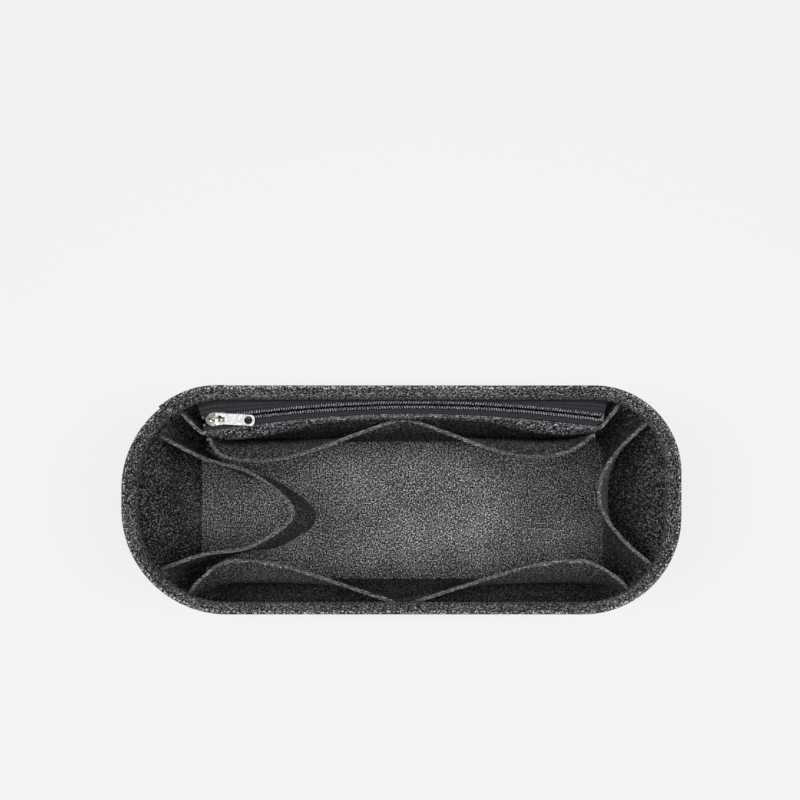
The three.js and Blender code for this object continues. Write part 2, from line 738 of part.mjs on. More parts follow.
// A line of sewing thread: a slim four-sided rod through points, turned to the normals of what it lies on
function thread(points, normals) {
  const last = points.length - 1;
  const rings = points.map((point, i) => {
    const along = points[Math.min(i + 1, last)].clone().sub(points[Math.max(i - 1, 0)]).normalize();
    const out = normals[i].clone().multiplyScalar(threadRadius);
    const side = out.clone().cross(along);
    return [out, side, out.clone().negate(), side.clone().negate()].map((offset) => offset.add(point));
  });
  const { points: corners, triangles } = sweep(rings);
  const end = last * 4;
  triangles.push([0, 1, 2], [0, 2, 3], [end, end + 2, end + 1], [end, end + 3, end + 2]);
  return geometryOf(corners, triangles);
}

// A row of stitches on the inner face of a sheet
function stitched(surface, places) {
  const spots = places.map(([u, v]) => surfaceAt(surface, u, v));
  const points = spots.map(({ point, normal }) => point.addScaledVector(normal, -threadLift));
  return thread(points, spots.map(({ normal }) => normal));
}

// A row of stitches on the wall through places given as distance, height and inset
function wallThread(places) {
  const points = places.map(([distance, z, inset]) => wallPoint(distance, z, inset));
  const normals = places.map(([distance, z, inset], i) => wallPoint(distance, z, inset - 1).sub(points[i]));
  return thread(points, normals);
}

// A row of stitches round the tub at one height
function roundThread(z, inset, start, finish) {
  return wallThread(roundPlaces(z, start, finish).map((distance) => [distance, z, inset]));
}

addPiece('base_panel', basePanel(), feltMaterial());
addPiece('wall_strip', wallStrip(), feltMaterial());
addPiece('zip_pocket_panel', zipPanel(), feltMaterial());
const backColumns = pairColumns(backPocketLow, backPocketHigh, backSeam, backPocketFlange);
const frontColumns = pairColumns(-frontPocketLeft, frontPocketRight, seamPlace, flange);
addPiece('back_slip_pocket', sheet(backPocketSurface, backColumns, rowsToTop, felt), feltMaterial());
addPiece('front_slip_pocket', sheet(frontPocketSurface, frontColumns, rowsToTop, felt), feltMaterial());
const endSpan = endPocketFront + endPocketBack + 2 * flange;
const endPlaces = steps(endSteps).map((share) => mix(flange, endSpan - flange, share));
const endColumns = shares([0, flange / 2, ...endPlaces, endSpan - flange / 2, endSpan]);
addPiece('end_slip_pocket', sheet(endPocketSurface, endColumns, rowsToTop, felt), feltMaterial());
addPiece('bottle_holder', sheet(holderSurface, steps(holderSteps + 2), steps(2), felt), feltMaterial());

addPiece('zip_tape_back', backTape(), tapeMaterial());
addPiece('zip_tape_front', frontTape(), tapeMaterial());
addPiece('zip_coil_back', coil(-1), coilMaterial());
addPiece('zip_coil_front', coil(1), coilMaterial());

const topStops = zipGroup(chainStart - stopLength / 2 - layerGap);
const bottomStopAt = zipGroup(chainEnd + stopLength / 2 + layerGap);
const stopY = (tapeEdge + coilOuter) / 2 + layerGap;
const topStop = (side) => block(stopLength, stopWidth, coilHeight, 0, side * stopY, layerGap);
addPiece('zip_top_stop_back', topStop(1), metalMaterial(), topStops);
addPiece('zip_top_stop_front', topStop(-1), metalMaterial(), topStops);
const bottomStop = block(stopLength, 2 * coilOuter, coilHeight, 0, 0, layerGap);
addPiece('zip_bottom_stop', bottomStop, metalMaterial(), bottomStopAt);

const sliderAt = zipGroup(sliderPlace);
addPiece('zip_slider_body', sliderBody(), metalMaterial(), sliderAt);
const tabAt = new THREE.Group();
tabAt.position.set(pivotAlong, 0, plateTop + pivotHeight);
tabAt.rotation.y = Math.atan2(pivotHeight - tabThickness / 2 - layerGap, sliderHalf - pivotAlong);
tabAt.rotation.z = -THREE.MathUtils.degToRad(tabYaw);
sliderAt.add(tabAt);
addPiece('zip_pull_tab', pullTab(), metalMaterial(), tabAt);

const onHem = hemFace + layerGap + threadRadius;
const outside = -layerGap - threadRadius;
const pastLap = lapPlace + lapLength + layerGap + threadEnd;
const hemFinish = lapPlace + lapLength - threadEnd;
const hemThread = roundThread(hemEdge + hemStitchRise, onHem, pastLap, hemFinish);
addPiece('hem_seam_thread', hemThread, threadMaterial());
const baseFinish = lapPlace - joggleRun - threadEnd;
const baseThread = roundThread(footStitchRise, outside, pastLap, baseFinish);
addPiece('base_seam_thread', baseThread, threadMaterial());
const lapPlaces = steps(8).map((share) => {
  const z = mix(2 * footStitchRise, height - footStitchRise, share);
  return [lapPlace + lapLength / 2, z, outside - felt - layerGap];
});
addPiece('lap_seam_thread', wallThread(lapPlaces), threadMaterial());

const backSpan = panelHigh - panelLow;
const frontSpan = frontPocketLeft + frontPocketRight + 2 * flange;
const panelSpan = panelHigh - panelLow + panelRightRun + panelLeftRun + 2 * flange;
const half = flange / 2;

// A row of stitches down a strip: the strip's surface and height, and where along it the row is, as a share
function seamDown(name, surface, tall, u) {
  const places = steps(seamSteps).map((share) => [u, mix(seamEnd, tall - seamEnd, share) / tall]);
  addPiece(name, stitched(surface, places), threadMaterial());
}

const backTall = backPocketTop - pocketBottom;
const backMiddle = (backSeam - panelLow) / backSpan;
const backHalf = backPocketFlange / 2;
seamDown('back_pocket_centre_thread', backPocketSurface, backTall, backMiddle);
seamDown('back_pocket_left_thread', backPocketSurface, backTall, 1 - backHalf / backSpan);
seamDown('back_pocket_right_thread', backPocketSurface, backTall, backHalf / backSpan);
const frontTall = frontPocketTop - pocketBottom;
const frontMiddle = (seamPlace + frontPocketLeft + flange) / frontSpan;
seamDown('front_pocket_centre_thread', frontPocketSurface, frontTall, frontMiddle);
seamDown('front_pocket_left_thread', frontPocketSurface, frontTall, half / frontSpan);
seamDown('front_pocket_right_thread', frontPocketSurface, frontTall, 1 - half / frontSpan);
const endTall = endPocketTop - pocketBottom;
seamDown('end_pocket_front_thread', endPocketSurface, endTall, half / endSpan);
seamDown('end_pocket_back_thread', endPocketSurface, endTall, 1 - half / endSpan);
const holderTall = holderTop - felt - layerGap;
const holderSeam = 0.5 / (holderSteps + 2);
seamDown('holder_back_thread', holderSurface, holderTall, holderSeam);
seamDown('holder_front_thread', holderSurface, holderTall, 1 - holderSeam);
const panelTall = panelTop - pocketBottom;
seamDown('zip_panel_left_thread', panelSurface, panelTall, 1 - half / panelSpan);
seamDown('zip_panel_right_thread', panelSurface, panelTall, half / panelSpan);

const topRow = 1 - edgeStitch / panelTall;
const panelFirst = (flange + panelRightRun) / panelSpan;
const panelLast = 1 - (flange + panelLeftRun) / panelSpan;
const alongPanel = steps(30).map((share) => [mix(panelFirst, panelLast, share), topRow]);
addPiece('zip_panel_top_thread', stitched(panelSurface, alongPanel), threadMaterial());

export default insert;
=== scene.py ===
import math
import bpy
from mathutils import Matrix, Vector


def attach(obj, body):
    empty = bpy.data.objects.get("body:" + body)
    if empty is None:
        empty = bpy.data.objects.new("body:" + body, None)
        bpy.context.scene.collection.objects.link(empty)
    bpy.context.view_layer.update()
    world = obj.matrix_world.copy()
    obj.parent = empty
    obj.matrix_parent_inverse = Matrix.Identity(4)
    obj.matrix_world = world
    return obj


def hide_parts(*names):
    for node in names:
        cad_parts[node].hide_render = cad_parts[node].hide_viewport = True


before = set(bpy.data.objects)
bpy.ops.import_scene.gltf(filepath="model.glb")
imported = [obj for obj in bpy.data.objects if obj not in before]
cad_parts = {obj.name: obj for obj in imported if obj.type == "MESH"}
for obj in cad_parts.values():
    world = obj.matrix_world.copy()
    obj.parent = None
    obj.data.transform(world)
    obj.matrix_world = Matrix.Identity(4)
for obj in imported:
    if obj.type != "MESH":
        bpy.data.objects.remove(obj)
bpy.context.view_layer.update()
mm = 0.001  # sizes below are in millimetres, meshes are in metres

print("stage: shapes of the tub")

tub = {
    "rimLength": 300, "rimWidth": 123, "baseLength": 286, "baseWidth": 106, "height": 150,
    "baseCorner": 15, "rimCorners": (56, 57, 53, 47), "leastStraight": 4,
    "felt": 2, "gap": 0.35, "tape": 0.5, "hemDepth": 14, "footLift": 2,
}
felt = tub["felt"]
gap = tub["gap"]
hemEdge = tub["height"] - tub["hemDepth"]
hemFace = 2 * felt + tub["tape"] + 2 * gap  # the tape lies between the wall and the hem
seat = felt * 1.5 + gap  # middle of a strip that is sewn flat to the wall
pocketFoot = felt + tub["footLift"]


def mix(low, high, share):
    return low + (high - low) * share


def clamp(value):
    return min(max(value, 0.0), 1.0)


def smooth(value):
    share = clamp(value)
    return share * share * (3 - 2 * share)


# outline at one height: straights and corners, anticlockwise from the middle of the back
def planAt(z):
    share = z / tub["height"]
    halfLength = mix(tub["baseLength"], tub["rimLength"], share) / 2
    halfWidth = mix(tub["baseWidth"], tub["rimWidth"], share) / 2
    most = halfWidth - tub["leastStraight"] / 2
    radii = [min(mix(tub["baseCorner"], rim, share), most) for rim in tub["rimCorners"]]
    arcs = [math.pi / 2 * radius for radius in radii]
    runs = [
        halfLength - radii[0], arcs[0],
        2 * halfWidth - radii[0] - radii[1], arcs[1],
        2 * halfLength - radii[1] - radii[2], arcs[2],
        2 * halfWidth - radii[2] - radii[3], arcs[3],
        halfLength - radii[3],
    ]
    ends = []
    for run in runs:
        ends.append(run + (ends[-1] if ends else 0))
    return halfLength, halfWidth, radii, runs, ends


def perimeterAt(z):
    return planAt(z)[4][-1]


# a point of the wall: distance round the outline, height, and how far in from the outside
def wallPoint(distance, z, inset):
    halfLength, halfWidth, radii, runs, ends = planAt(z)
    around = distance % ends[-1]
    part = next(i for i, end in enumerate(ends) if around <= end)
    along = around - (ends[part] - runs[part])
    if part % 2:  # the corners lie between the straights
        corner = part // 2
        radius = radii[corner]
        sideX = -1 if corner < 2 else 1
        sideY = 1 if corner in (0, 3) else -1
        angle = math.pi / 2 * (corner + 1) + along / radius
        x = sideX * (halfLength - radius) + (radius - inset) * math.cos(angle)
        y = sideY * (halfWidth - radius) + (radius - inset) * math.sin(angle)
        return Vector((x, y, z))
    if part == 0:
        return Vector((-along, halfWidth - inset, z))
    if part == 2:
        return Vector((inset - halfLength, halfWidth - radii[0] - along, z))
    if part == 4:
        return Vector((radii[1] - halfLength + along, inset - halfWidth, z))
    if part == 6:
        return Vector((halfLength - inset, radii[2] - halfWidth + along, z))
    return Vector((halfLength - radii[3] - along, halfWidth - inset, z))


# the same by side: distance anticlockwise from the middle of that side
def onWall(side, along, z, inset):
    halfLength, halfWidth, radii, runs, ends = planAt(z)
    middle = {
        "back": 0,
        "left": ends[1] + halfWidth - radii[0],
        "front": ends[3] + halfLength - radii[1],
        "right": ends[5] + halfWidth - radii[2],
    }[side]
    return wallPoint(middle + along, z, inset)


print("stage: materials")


# sRGB hex to the linear colour that shaders take
def colour(hexText):
    def linear(part):
        share = int(part, 16) / 255
        return share / 12.92 if share <= 0.04045 else ((share + 0.055) / 1.055) ** 2.4
    text = hexText.lstrip("#")
    return (linear(text[0:2]), linear(text[2:4]), linear(text[4:6]), 1.0)


# one node with its settings, and links from other nodes' sockets; a number is a socket's place
def addNode(owner, kind, settings=None, links=None):
    node = owner.node_tree.nodes.new(kind)
    for key, value in (settings or {}).items():
        if isinstance(key, int) or (key in node.inputs and not hasattr(node, key)):
            node.inputs[key].default_value = value
        else:
            setattr(node, key, value)
    for key, socket in (links or {}).items():
        owner.node_tree.links.new(socket, node.inputs[key])
    return node


def newMaterial(name):
    material = bpy.data.materials.new(name)
    material.use_nodes = True
    return material, material.node_tree.nodes["Principled BSDF"]


# what is the same all over goes on the shader's own sockets, the rest is linked to them
def setShader(material, shader, values, links=None):
    for key, value in values.items():
        shader.inputs[key].default_value = value
    for key, socket in (links or {}).items():
        material.node_tree.links.new(socket, shader.inputs[key])


def setRamp(node, stops):
    ramp = node.color_ramp
    while len(ramp.elements) < len(stops):
        ramp.elements.new(0.5)
    for element, (place, hexText) in zip(ramp.elements, stops):
        element.position = place
        element.color = colour(hexText)


# pressed polyester felt, carded from black, grey and pale fibres: a salt and pepper heather
# with no gloss; single fibres are too fine to show, so its flecks are about a millimetre across
feltLook = {
    "clump": 1.0, "fibre": 0.55, "fibreShare": 0.3, "mottle": 38, "mottleDepth": 0.06,
    "bump": 0.8, "roughness": 0.95, "sheen": 0.02, "sheenRoughness": 0.5,
    "floor": {
        "upright": 1.0, "nap": 0.4,
        "stops": ((0.41, "#030303"), (0.48, "#2e2e2f"), (0.55, "#686869"), (0.63, "#d8d8d9")),
    },
    "outside": {
        "upright": 0.8, "nap": 0.4,
        "stops": ((0.38, "#121214"), (0.48, "#2f2f32"), (0.56, "#525256"), (0.66, "#9c9ca0")),
    },
    "inside": {
        "upright": 0.3, "nap": 0.8,
        "stops": ((0.42, "#020203"), (0.49, "#28282a"), (0.56, "#6a6a6d"), (0.63, "#dadadc")),
    },
    "rim": {
        "upright": 1.0, "nap": 0.4,
        "stops": ((0.41, "#040405"), (0.48, "#2c2c2f"), (0.55, "#606064"), (0.62, "#d4d4d7")),
    },
    # the pocket strips are the same felt, drawn out more, with a ramp about a third darker: painted
    # shade
    "strip": {
        "upright": 0.45, "nap": 0.9,
        "stops": ((0.42, "#020202"), (0.49, "#202022"), (0.55, "#545457"), (0.61, "#c4c4c6")),
    },
    # the cut edge ramp is paler than the strip felt's: a painted highlight for the light the edges
    # catch
    "edge": {
        "upright": 1.0, "nap": 0.4,
        "stops": ((0.38, "#0c0c0d"), (0.47, "#363639"), (0.55, "#5c5c60"), (0.68, "#a4a4a6")),
    },
}


# upright below 1 draws the flecks out along the strip's height, the way the batt is carded
def feltMaterial(name, kind):
    look = feltLook[kind]
    depth = feltLook["mottleDepth"]
    material, shader = newMaterial(name)
    place = addNode(material, "ShaderNodeTexCoord")
    carded = addNode(material, "ShaderNodeVectorMath",
                     {"operation": "MULTIPLY", 1: (1.0, 1.0, look["upright"])},
                     {0: place.outputs["Object"]})
    clump = addNode(material, "ShaderNodeTexNoise",
                    {"Scale": 1 / (feltLook["clump"] * mm), "Detail": 2.0, "Roughness": 0.75},
                    {"Vector": carded.outputs[0]})
    fibre = addNode(material, "ShaderNodeTexNoise",
                    {"Scale": 1 / (feltLook["fibre"] * mm), "Detail": 1.0, "Distortion": 0.8},
                    {"Vector": carded.outputs[0]})
    mottle = addNode(material, "ShaderNodeTexNoise",
                     {"Scale": 1 / (feltLook["mottle"] * mm), "Detail": 2.0},
                     {"Vector": place.outputs["Object"]})
    both = addNode(material, "ShaderNodeMix", {"data_type": "FLOAT", 0: feltLook["fibreShare"]},
                   {2: clump.outputs["Fac"], 3: fibre.outputs["Fac"]})
    shift = addNode(material, "ShaderNodeMath",
                    {"operation": "MULTIPLY_ADD", 1: depth, 2: -depth / 2},
                    {0: mottle.outputs["Fac"]})
    level = addNode(material, "ShaderNodeMath", {"operation": "ADD"},
                    {0: both.outputs[0], 1: shift.outputs[0]})
    ramp = addNode(material, "ShaderNodeValToRGB", None, {"Fac": level.outputs[0]})
    setRamp(ramp, look["stops"])
    bump = addNode(material, "ShaderNodeBump",
                   {"Strength": feltLook["bump"], "Distance": look["nap"] * mm},
                   {"Height": level.outputs[0]})
    setShader(material, shader, {
        "Roughness": feltLook["roughness"], "Specular IOR Level": 0.0,
        "Sheen Weight": feltLook["sheen"], "Sheen Roughness": feltLook["sheenRoughness"],
    }, {"Base Color": ramp.outputs["Color"], "Normal": bump.outputs["Normal"]})
    return material


floorFelt = feltMaterial("pressed charcoal felt, flat", "floor")
outerFelt = feltMaterial("pressed charcoal felt, outside", "outside")
innerFelt = feltMaterial("pressed charcoal felt, inside", "inside")
rimFelt = feltMaterial("pressed charcoal felt, folded rim", "rim")
# the strips' darker felt is painted shade
shadedStripFelt = feltMaterial("pressed charcoal felt, pocket strip, painted shade", "strip")
edgeHighlightFelt = feltMaterial("cut edge of charcoal felt, painted highlight", "edge")  # cut edges are paler than the strip felt: a painted highlight for the light that they catch

# woven polyester zip tape: ribs along the zip crossed by weft, purple grey darkened overall as
# painted shade, a slight sheen;
# the real weave, about half a millimetre, is too fine to show, so its bands are drawn wider
tapeLook = {
    "rib": 0.9, "weft": 0.7, "waver": 1.5, "fuzz": 0.8, "bump": 0.5, "depth": 0.15,
    # the tape's purple grey is darkened overall, as painted shade
    "stops": ((0.3, "#121113"), (1.0, "#312e33")),
    "roughness": 0.8, "gloss": 0.1, "sheen": 0.03,
}


def tapeMaterial():
    material, shader = newMaterial("woven polyester zip tape")
    place = addNode(material, "ShaderNodeTexCoord")
    bands = []
    for direction, width in (("Y", tapeLook["rib"]), ("X", tapeLook["weft"])):
        # a wave repeats in 2 pi / 20 of its scale, which is one pale and one dark band
        bands.append(addNode(material, "ShaderNodeTexWave",
                             {"bands_direction": direction, "Scale": math.pi / 20 / (width * mm),
                              "Distortion": tapeLook["waver"], "Detail": 1.0},
                             {"Vector": place.outputs["UV"]}))
    fuzz = addNode(material, "ShaderNodeTexNoise",
                   {"Scale": 1 / (tapeLook["fuzz"] * mm), "Detail": 2.0},
                   {"Vector": place.outputs["Object"]})
    weave = addNode(material, "ShaderNodeMath", {"operation": "MULTIPLY"},
                    {0: bands[0].outputs["Fac"], 1: bands[1].outputs["Fac"]})
    level = addNode(material, "ShaderNodeMath", {"operation": "ADD"},
                    {0: weave.outputs[0], 1: fuzz.outputs["Fac"]})
    ramp = addNode(material, "ShaderNodeValToRGB", None, {"Fac": level.outputs[0]})
    setRamp(ramp, tapeLook["stops"])
    bump = addNode(material, "ShaderNodeBump",
                   {"Strength": tapeLook["bump"], "Distance": tapeLook["depth"] * mm},
                   {"Height": level.outputs[0]})
    setShader(material, shader, {
        "Roughness": tapeLook["roughness"], "Specular IOR Level": tapeLook["gloss"],
        "Sheen Weight": tapeLook["sheen"],
    }, {"Base Color": ramp.outputs["Color"], "Normal": bump.outputs["Normal"]})
    return material


# extruded nylon filament, dyed charcoal and set by heat, smooth; its pale grey tone and bright
# patches are painted glints;
# the yarn that it is wound on is black and dull, and made near black to paint the shade between the
# turns
nylonLook = {
    "patch": 1.2, "ior": 1.53,
    # the coil's pale grey and its patches are painted glints on charcoal nylon
    "coil": {"stops": ((0.35, "#626266"), (0.7, "#d0d0d5")), "roughness": 0.2, "gloss": 1.0},
    # the core cord is real; its near black tone is painted shade between the turns
    "core": {"stops": ((0.35, "#020203"), (0.7, "#060607")), "roughness": 0.7, "gloss": 0.0},
}


def nylonMaterial(name, kind):
    look = nylonLook[kind]
    material, shader = newMaterial(name)
    place = addNode(material, "ShaderNodeTexCoord")
    patch = addNode(material, "ShaderNodeTexNoise",
                     {"Scale": 1 / (nylonLook["patch"] * mm), "Detail": 1.0},
                     {"Vector": place.outputs["Object"]})
    ramp = addNode(material, "ShaderNodeValToRGB", None, {"Fac": patch.outputs["Fac"]})
    setRamp(ramp, look["stops"])
    setShader(material, shader, {
        "Roughness": look["roughness"], "Specular IOR Level": look["gloss"],
        "IOR": nylonLook["ior"],
    }, {"Base Color": ramp.outputs["Color"]})
    return material


# zinc die casting, barrel polished and nickel plated: bright and slightly orange peeled; the
# slider is painted darker, as painted shade, and the stops are pressed from dull wire and painted
# darker still, as painted shade
nickelLook = {
    "peel": 1.6, "peelDepth": 0.05, "bump": 0.12, "low": 0.3, "high": 0.7, "duller": 0.04,
    "polished": {"dark": "#d2d1ce", "pale": "#eeeeec", "roughness": 0.08},
    # the slider's dark tone is painted shade, far darker than nickel plating
    "cast": {"dark": "#5c5b58", "pale": "#8c8b86", "roughness": 0.1},
    # the stops' dark tone is painted shade on dull nickel
    "pressed": {"dark": "#2e2e2d", "pale": "#464645", "roughness": 0.5},
}


def nickelMaterial(name, kind):
    look = nickelLook[kind]
    low, high = nickelLook["low"], nickelLook["high"]
    material, shader = newMaterial(name)
    place = addNode(material, "ShaderNodeTexCoord")
    peel = addNode(material, "ShaderNodeTexNoise",
                   {"Scale": 1 / (nickelLook["peel"] * mm), "Detail": 2.0},
                   {"Vector": place.outputs["Object"]})
    tone = addNode(material, "ShaderNodeValToRGB", None, {"Fac": peel.outputs["Fac"]})
    setRamp(tone, ((low, look["dark"]), (high, look["pale"])))
    rough = addNode(material, "ShaderNodeMapRange",
                    {"From Min": low, "From Max": high, "To Min": look["roughness"],
                     "To Max": look["roughness"] + nickelLook["duller"]},
                    {"Value": peel.outputs["Fac"]})
    bump = addNode(material, "ShaderNodeBump",
                   {"Strength": nickelLook["bump"], "Distance": nickelLook["peelDepth"] * mm},
                   {"Height": peel.outputs["Fac"]})
    setShader(material, shader, {"Metallic": 1.0}, {
        "Base Color": tone.outputs["Color"], "Roughness": rough.outputs["Result"],
        "Normal": bump.outputs["Normal"],
    })
    return material


# spun polyester sewing thread, two plies twisted: charcoal with a faint shine along the twist
threadLook = {
    "twist": 0.5, "stops": ((0.35, "#232326"), (0.7, "#55555a")), "roughness": 0.6, "gloss": 0.2,
}


def threadMaterial():
    material, shader = newMaterial("spun polyester thread")
    place = addNode(material, "ShaderNodeTexCoord")
    twist = addNode(material, "ShaderNodeTexNoise",
                    {"Scale": 1 / (threadLook["twist"] * mm), "Detail": 1.0},
                    {"Vector": place.outputs["Object"]})
    ramp = addNode(material, "ShaderNodeValToRGB", None, {"Fac": twist.outputs["Fac"]})
    setRamp(ramp, threadLook["stops"])
    setShader(material, shader, {
        "Roughness": threadLook["roughness"], "Specular IOR Level": threadLook["gloss"],
    }, {"Base Color": ramp.outputs["Color"]})
    return material


shadedWovenTape = tapeMaterial()
coilNylonGlintPainted = nylonMaterial("heat set charcoal nylon, painted glints", "coil")
coreNylonShadePainted = nylonMaterial("twisted black nylon core cord, painted shade", "core")
polishedNickel = nickelMaterial("nickel plated zinc casting, polished", "polished")
sliderNickelShadePainted = nickelMaterial("nickel plated zinc casting, painted shade", "cast")
stopNickelShadePainted = nickelMaterial("pressed nickel stop, unpolished, painted shade", "pressed")
sewing = threadMaterial()

print("stage: tools")


def selectOnly(piece):
    bpy.ops.object.select_all(action="DESELECT")
    piece.select_set(True)
    bpy.context.view_layer.objects.active = piece


def rename(piece, name):
    piece.name = name
    piece.data.name = name


def applyModifier(piece, kind, settings):
    selectOnly(piece)
    modifier = piece.modifiers.new(kind.lower(), kind)
    for key, value in settings.items():
        setattr(modifier, key, value)
    bpy.ops.object.modifier_apply(modifier=modifier.name)


def smoothBelow(piece, degrees):
    selectOnly(piece)
    bpy.ops.object.shade_smooth_by_angle(angle=math.radians(degrees))


# a flat grid whose points go to a curved surface; cloth is its size in metres, for the uv map
def curvedGrid(name, columns, rows, surface, cloth=(1.0, 1.0)):
    bpy.ops.object.select_all(action="DESELECT")
    bpy.ops.mesh.primitive_grid_add(x_subdivisions=columns, y_subdivisions=rows, size=1)
    piece = bpy.context.object
    rename(piece, name)
    for corner in piece.data.uv_layers.active.data:
        corner.uv = (corner.uv[0] * cloth[0], corner.uv[1] * cloth[1])
    for point in piece.data.vertices:
        point.co = surface(point.co.x + 0.5, point.co.y + 0.5) * mm
    return piece


feltCut = {"segments": 2, "corner": 50, "smooth": 40}  # angles in degrees


# felt of even thickness with softly rounded cut edges, painted paler as a painted highlight
def thicken(piece, rounding, faces, more=None):
    for face in faces:
        piece.data.materials.append(face)
        piece.data.materials.append(edgeHighlightFelt)
    applyModifier(piece, "SOLIDIFY", {
        "thickness": felt * mm, "offset": 0.0, "use_even_offset": True,
        "material_offset_rim": 1, **(more or {}),
    })
    applyModifier(piece, "BEVEL", {
        "width": rounding * mm, "segments": feltCut["segments"], "limit_method": "ANGLE",
        "angle_limit": math.radians(feltCut["corner"]), "material": 0,
    })
    smoothBelow(piece, feltCut["smooth"])


def settle(piece, body, node):
    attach(piece, body)
    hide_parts(node)


# one model copied to many places, each with its own mesh, and joined into one piece
def copiesJoined(name, model, places):
    copies = []
    for place in places:
        copy = model.copy()
        copy.data = model.data.copy()
        copy.data.transform(place)
        bpy.context.collection.objects.link(copy)
        copies.append(copy)
    bpy.ops.object.select_all(action="DESELECT")
    for copy in copies:
        copy.select_set(True)
    bpy.context.view_layer.objects.active = copies[0]
    bpy.ops.object.join()
    piece = bpy.context.object
    rename(piece, name)
    return piece


# a place whose x runs along and whose z stands out from the surface
def placeAt(point, along, out):
    x = along.normalized()
    y = out.cross(x).normalized()
    z = x.cross(y)
    turn = Matrix((x, y, z)).transposed().to_4x4()
    return Matrix.Translation(point * mm) @ turn


print("stage: base and wall")

base = {"corner": 15, "cornerSteps": 10, "rounding": 0.3}


def makeBase():
    inset = felt + gap
    x = tub["baseLength"] / 2 - inset
    y = tub["baseWidth"] / 2 - inset
    bpy.ops.object.select_all(action="DESELECT")
    bpy.ops.mesh.primitive_plane_add(size=1)
    piece = bpy.context.object
    rename(piece, "felt_base")
    for point in piece.data.vertices:
        corner = (math.copysign(x, point.co.x), math.copysign(y, point.co.y), felt / 2)
        point.co = Vector(corner) * mm
    bpy.ops.object.mode_set(mode="EDIT")
    bpy.ops.mesh.select_all(action="SELECT")
    bpy.ops.mesh.bevel(offset=(base["corner"] - inset) * mm, segments=base["cornerSteps"],
                       affect="VERTICES")
    bpy.ops.object.mode_set(mode="OBJECT")
    thicken(piece, base["rounding"], [floorFelt])
    settle(piece, "insert", "base_panel")


makeBase()

# pressed, lapPressed and thinnest are shares of the felt's thickness
wall = {
    "columns": 400, "upRows": 40, "foldRows": 10, "hemRows": 14, "rounding": 0.35,
    "plainRows": 37, "plainColumns": 8, "rimSlot": 2, "insideSlots": 4,
    "lapPlace": 118, "lapLength": 14, "lapLift": 1.65, "lapAtCrest": 0.75, "lapPressed": 0.6,
    "joggleRun": 30, "joggleEnd": 1, "pressed": 0.55, "thinnest": 0.5,
    "crest": 0.6, "crestInset": 0.7, "crestRun": 5, "hemSlope": 8, "hemEase": 0.5,
}
lapEnd = wall["lapPlace"] + wall["lapLength"]
foldBase = tub["height"] - wall["crest"] - felt / 2 * wall["pressed"]


# middle of the felt up the outside, over the pressed fold and down the hem:
# its inset, its height, its share of the thickness and its share of the lap's lift
def wallSection(row):
    crest = wall["crest"]
    if row <= wall["upRows"]:
        z = mix(0, foldBase, row / wall["upRows"])
        near = smooth(1 - (foldBase - z) / wall["crestRun"])
        laps = mix(1, wall["lapAtCrest"], near)
        return mix(felt / 2, wall["crestInset"], near), z, mix(1, wall["pressed"], near), laps
    row -= wall["upRows"]
    if row <= wall["foldRows"]:
        angle = math.pi * row / wall["foldRows"]
        inset = wall["crestInset"] + crest * (1 - math.cos(angle))
        return inset, foldBase + crest * math.sin(angle), wall["pressed"], wall["lapAtCrest"]
    row -= wall["foldRows"]
    z = mix(foldBase, hemEdge, row / wall["hemRows"])
    down = clamp((foldBase - z) / wall["hemSlope"])
    eased = mix(down, smooth(down), wall["hemEase"])
    inset = mix(wall["crestInset"] + 2 * crest, hemFace - felt / 2, eased)
    return inset, z, mix(wall["pressed"], 1, smooth(down)), wall["lapAtCrest"] * (1 - down)


def makeWall():
    rows = wall["upRows"] + wall["foldRows"] + wall["hemRows"]
    start = wall["lapPlace"]
    plain = wall["plainColumns"]
    under = wall["lapLength"] + gap
    lifts = wall["joggleRun"] - wall["joggleEnd"]

    # the first columns lie under the lap, so that the fold starts just past its end
    def surface(u, v):
        inset, z, _, laps = wallSection(round(v * rows))
        perimeter = perimeterAt(z)
        column = round(u * wall["columns"])
        if column < plain:
            along = under * column / plain
        else:
            past = (column - plain) / (wall["columns"] - plain)
            along = mix(under, perimeter + wall["lapLength"], past)
        lifted = smooth((along - perimeter + wall["joggleRun"]) / lifts)
        return wallPoint(start + along, z, inset - lifted * laps * wall["lapLift"])

    piece = curvedGrid("felt_wall", wall["columns"], rows, surface)
    pressed = piece.vertex_groups.new(name="pressed")
    thinnest = wall["thinnest"]
    for point in piece.data.vertices:
        row, column = divmod(point.index, wall["columns"] + 1)
        thickness = wallSection(row)[2] if column >= plain else wall["lapPressed"]
        pressed.add([point.index], (thickness - thinnest) / (1 - thinnest), "REPLACE")
    # the strip starts as a plain layer under the lap, so its fold and hem are cut away there
    bpy.ops.object.mode_set(mode="EDIT")
    bpy.ops.mesh.select_mode(type="FACE")
    bpy.ops.mesh.select_all(action="DESELECT")
    bpy.ops.object.mode_set(mode="OBJECT")
    for face in piece.data.polygons:
        row, column = divmod(face.index, wall["columns"])
        face.select = column < plain and row >= wall["plainRows"]
        face.material_index = wall["rimSlot"] if row >= wall["upRows"] - 1 else 0
    bpy.ops.object.mode_set(mode="EDIT")
    bpy.ops.mesh.delete(type="FACE")
    bpy.ops.object.mode_set(mode="OBJECT")
    # the felts of the inside come after those of the outside, each with its cut edge
    thicken(piece, wall["rounding"], [outerFelt, rimFelt, innerFelt, rimFelt], {
        "vertex_group": "pressed", "thickness_vertex_group": thinnest,
        "material_offset": wall["insideSlots"],
    })
    settle(piece, "insert", "wall_strip")
    length = perimeterAt(tub["height"]) + wall["lapLength"]


makeWall()

print("stage: zip line and pockets")

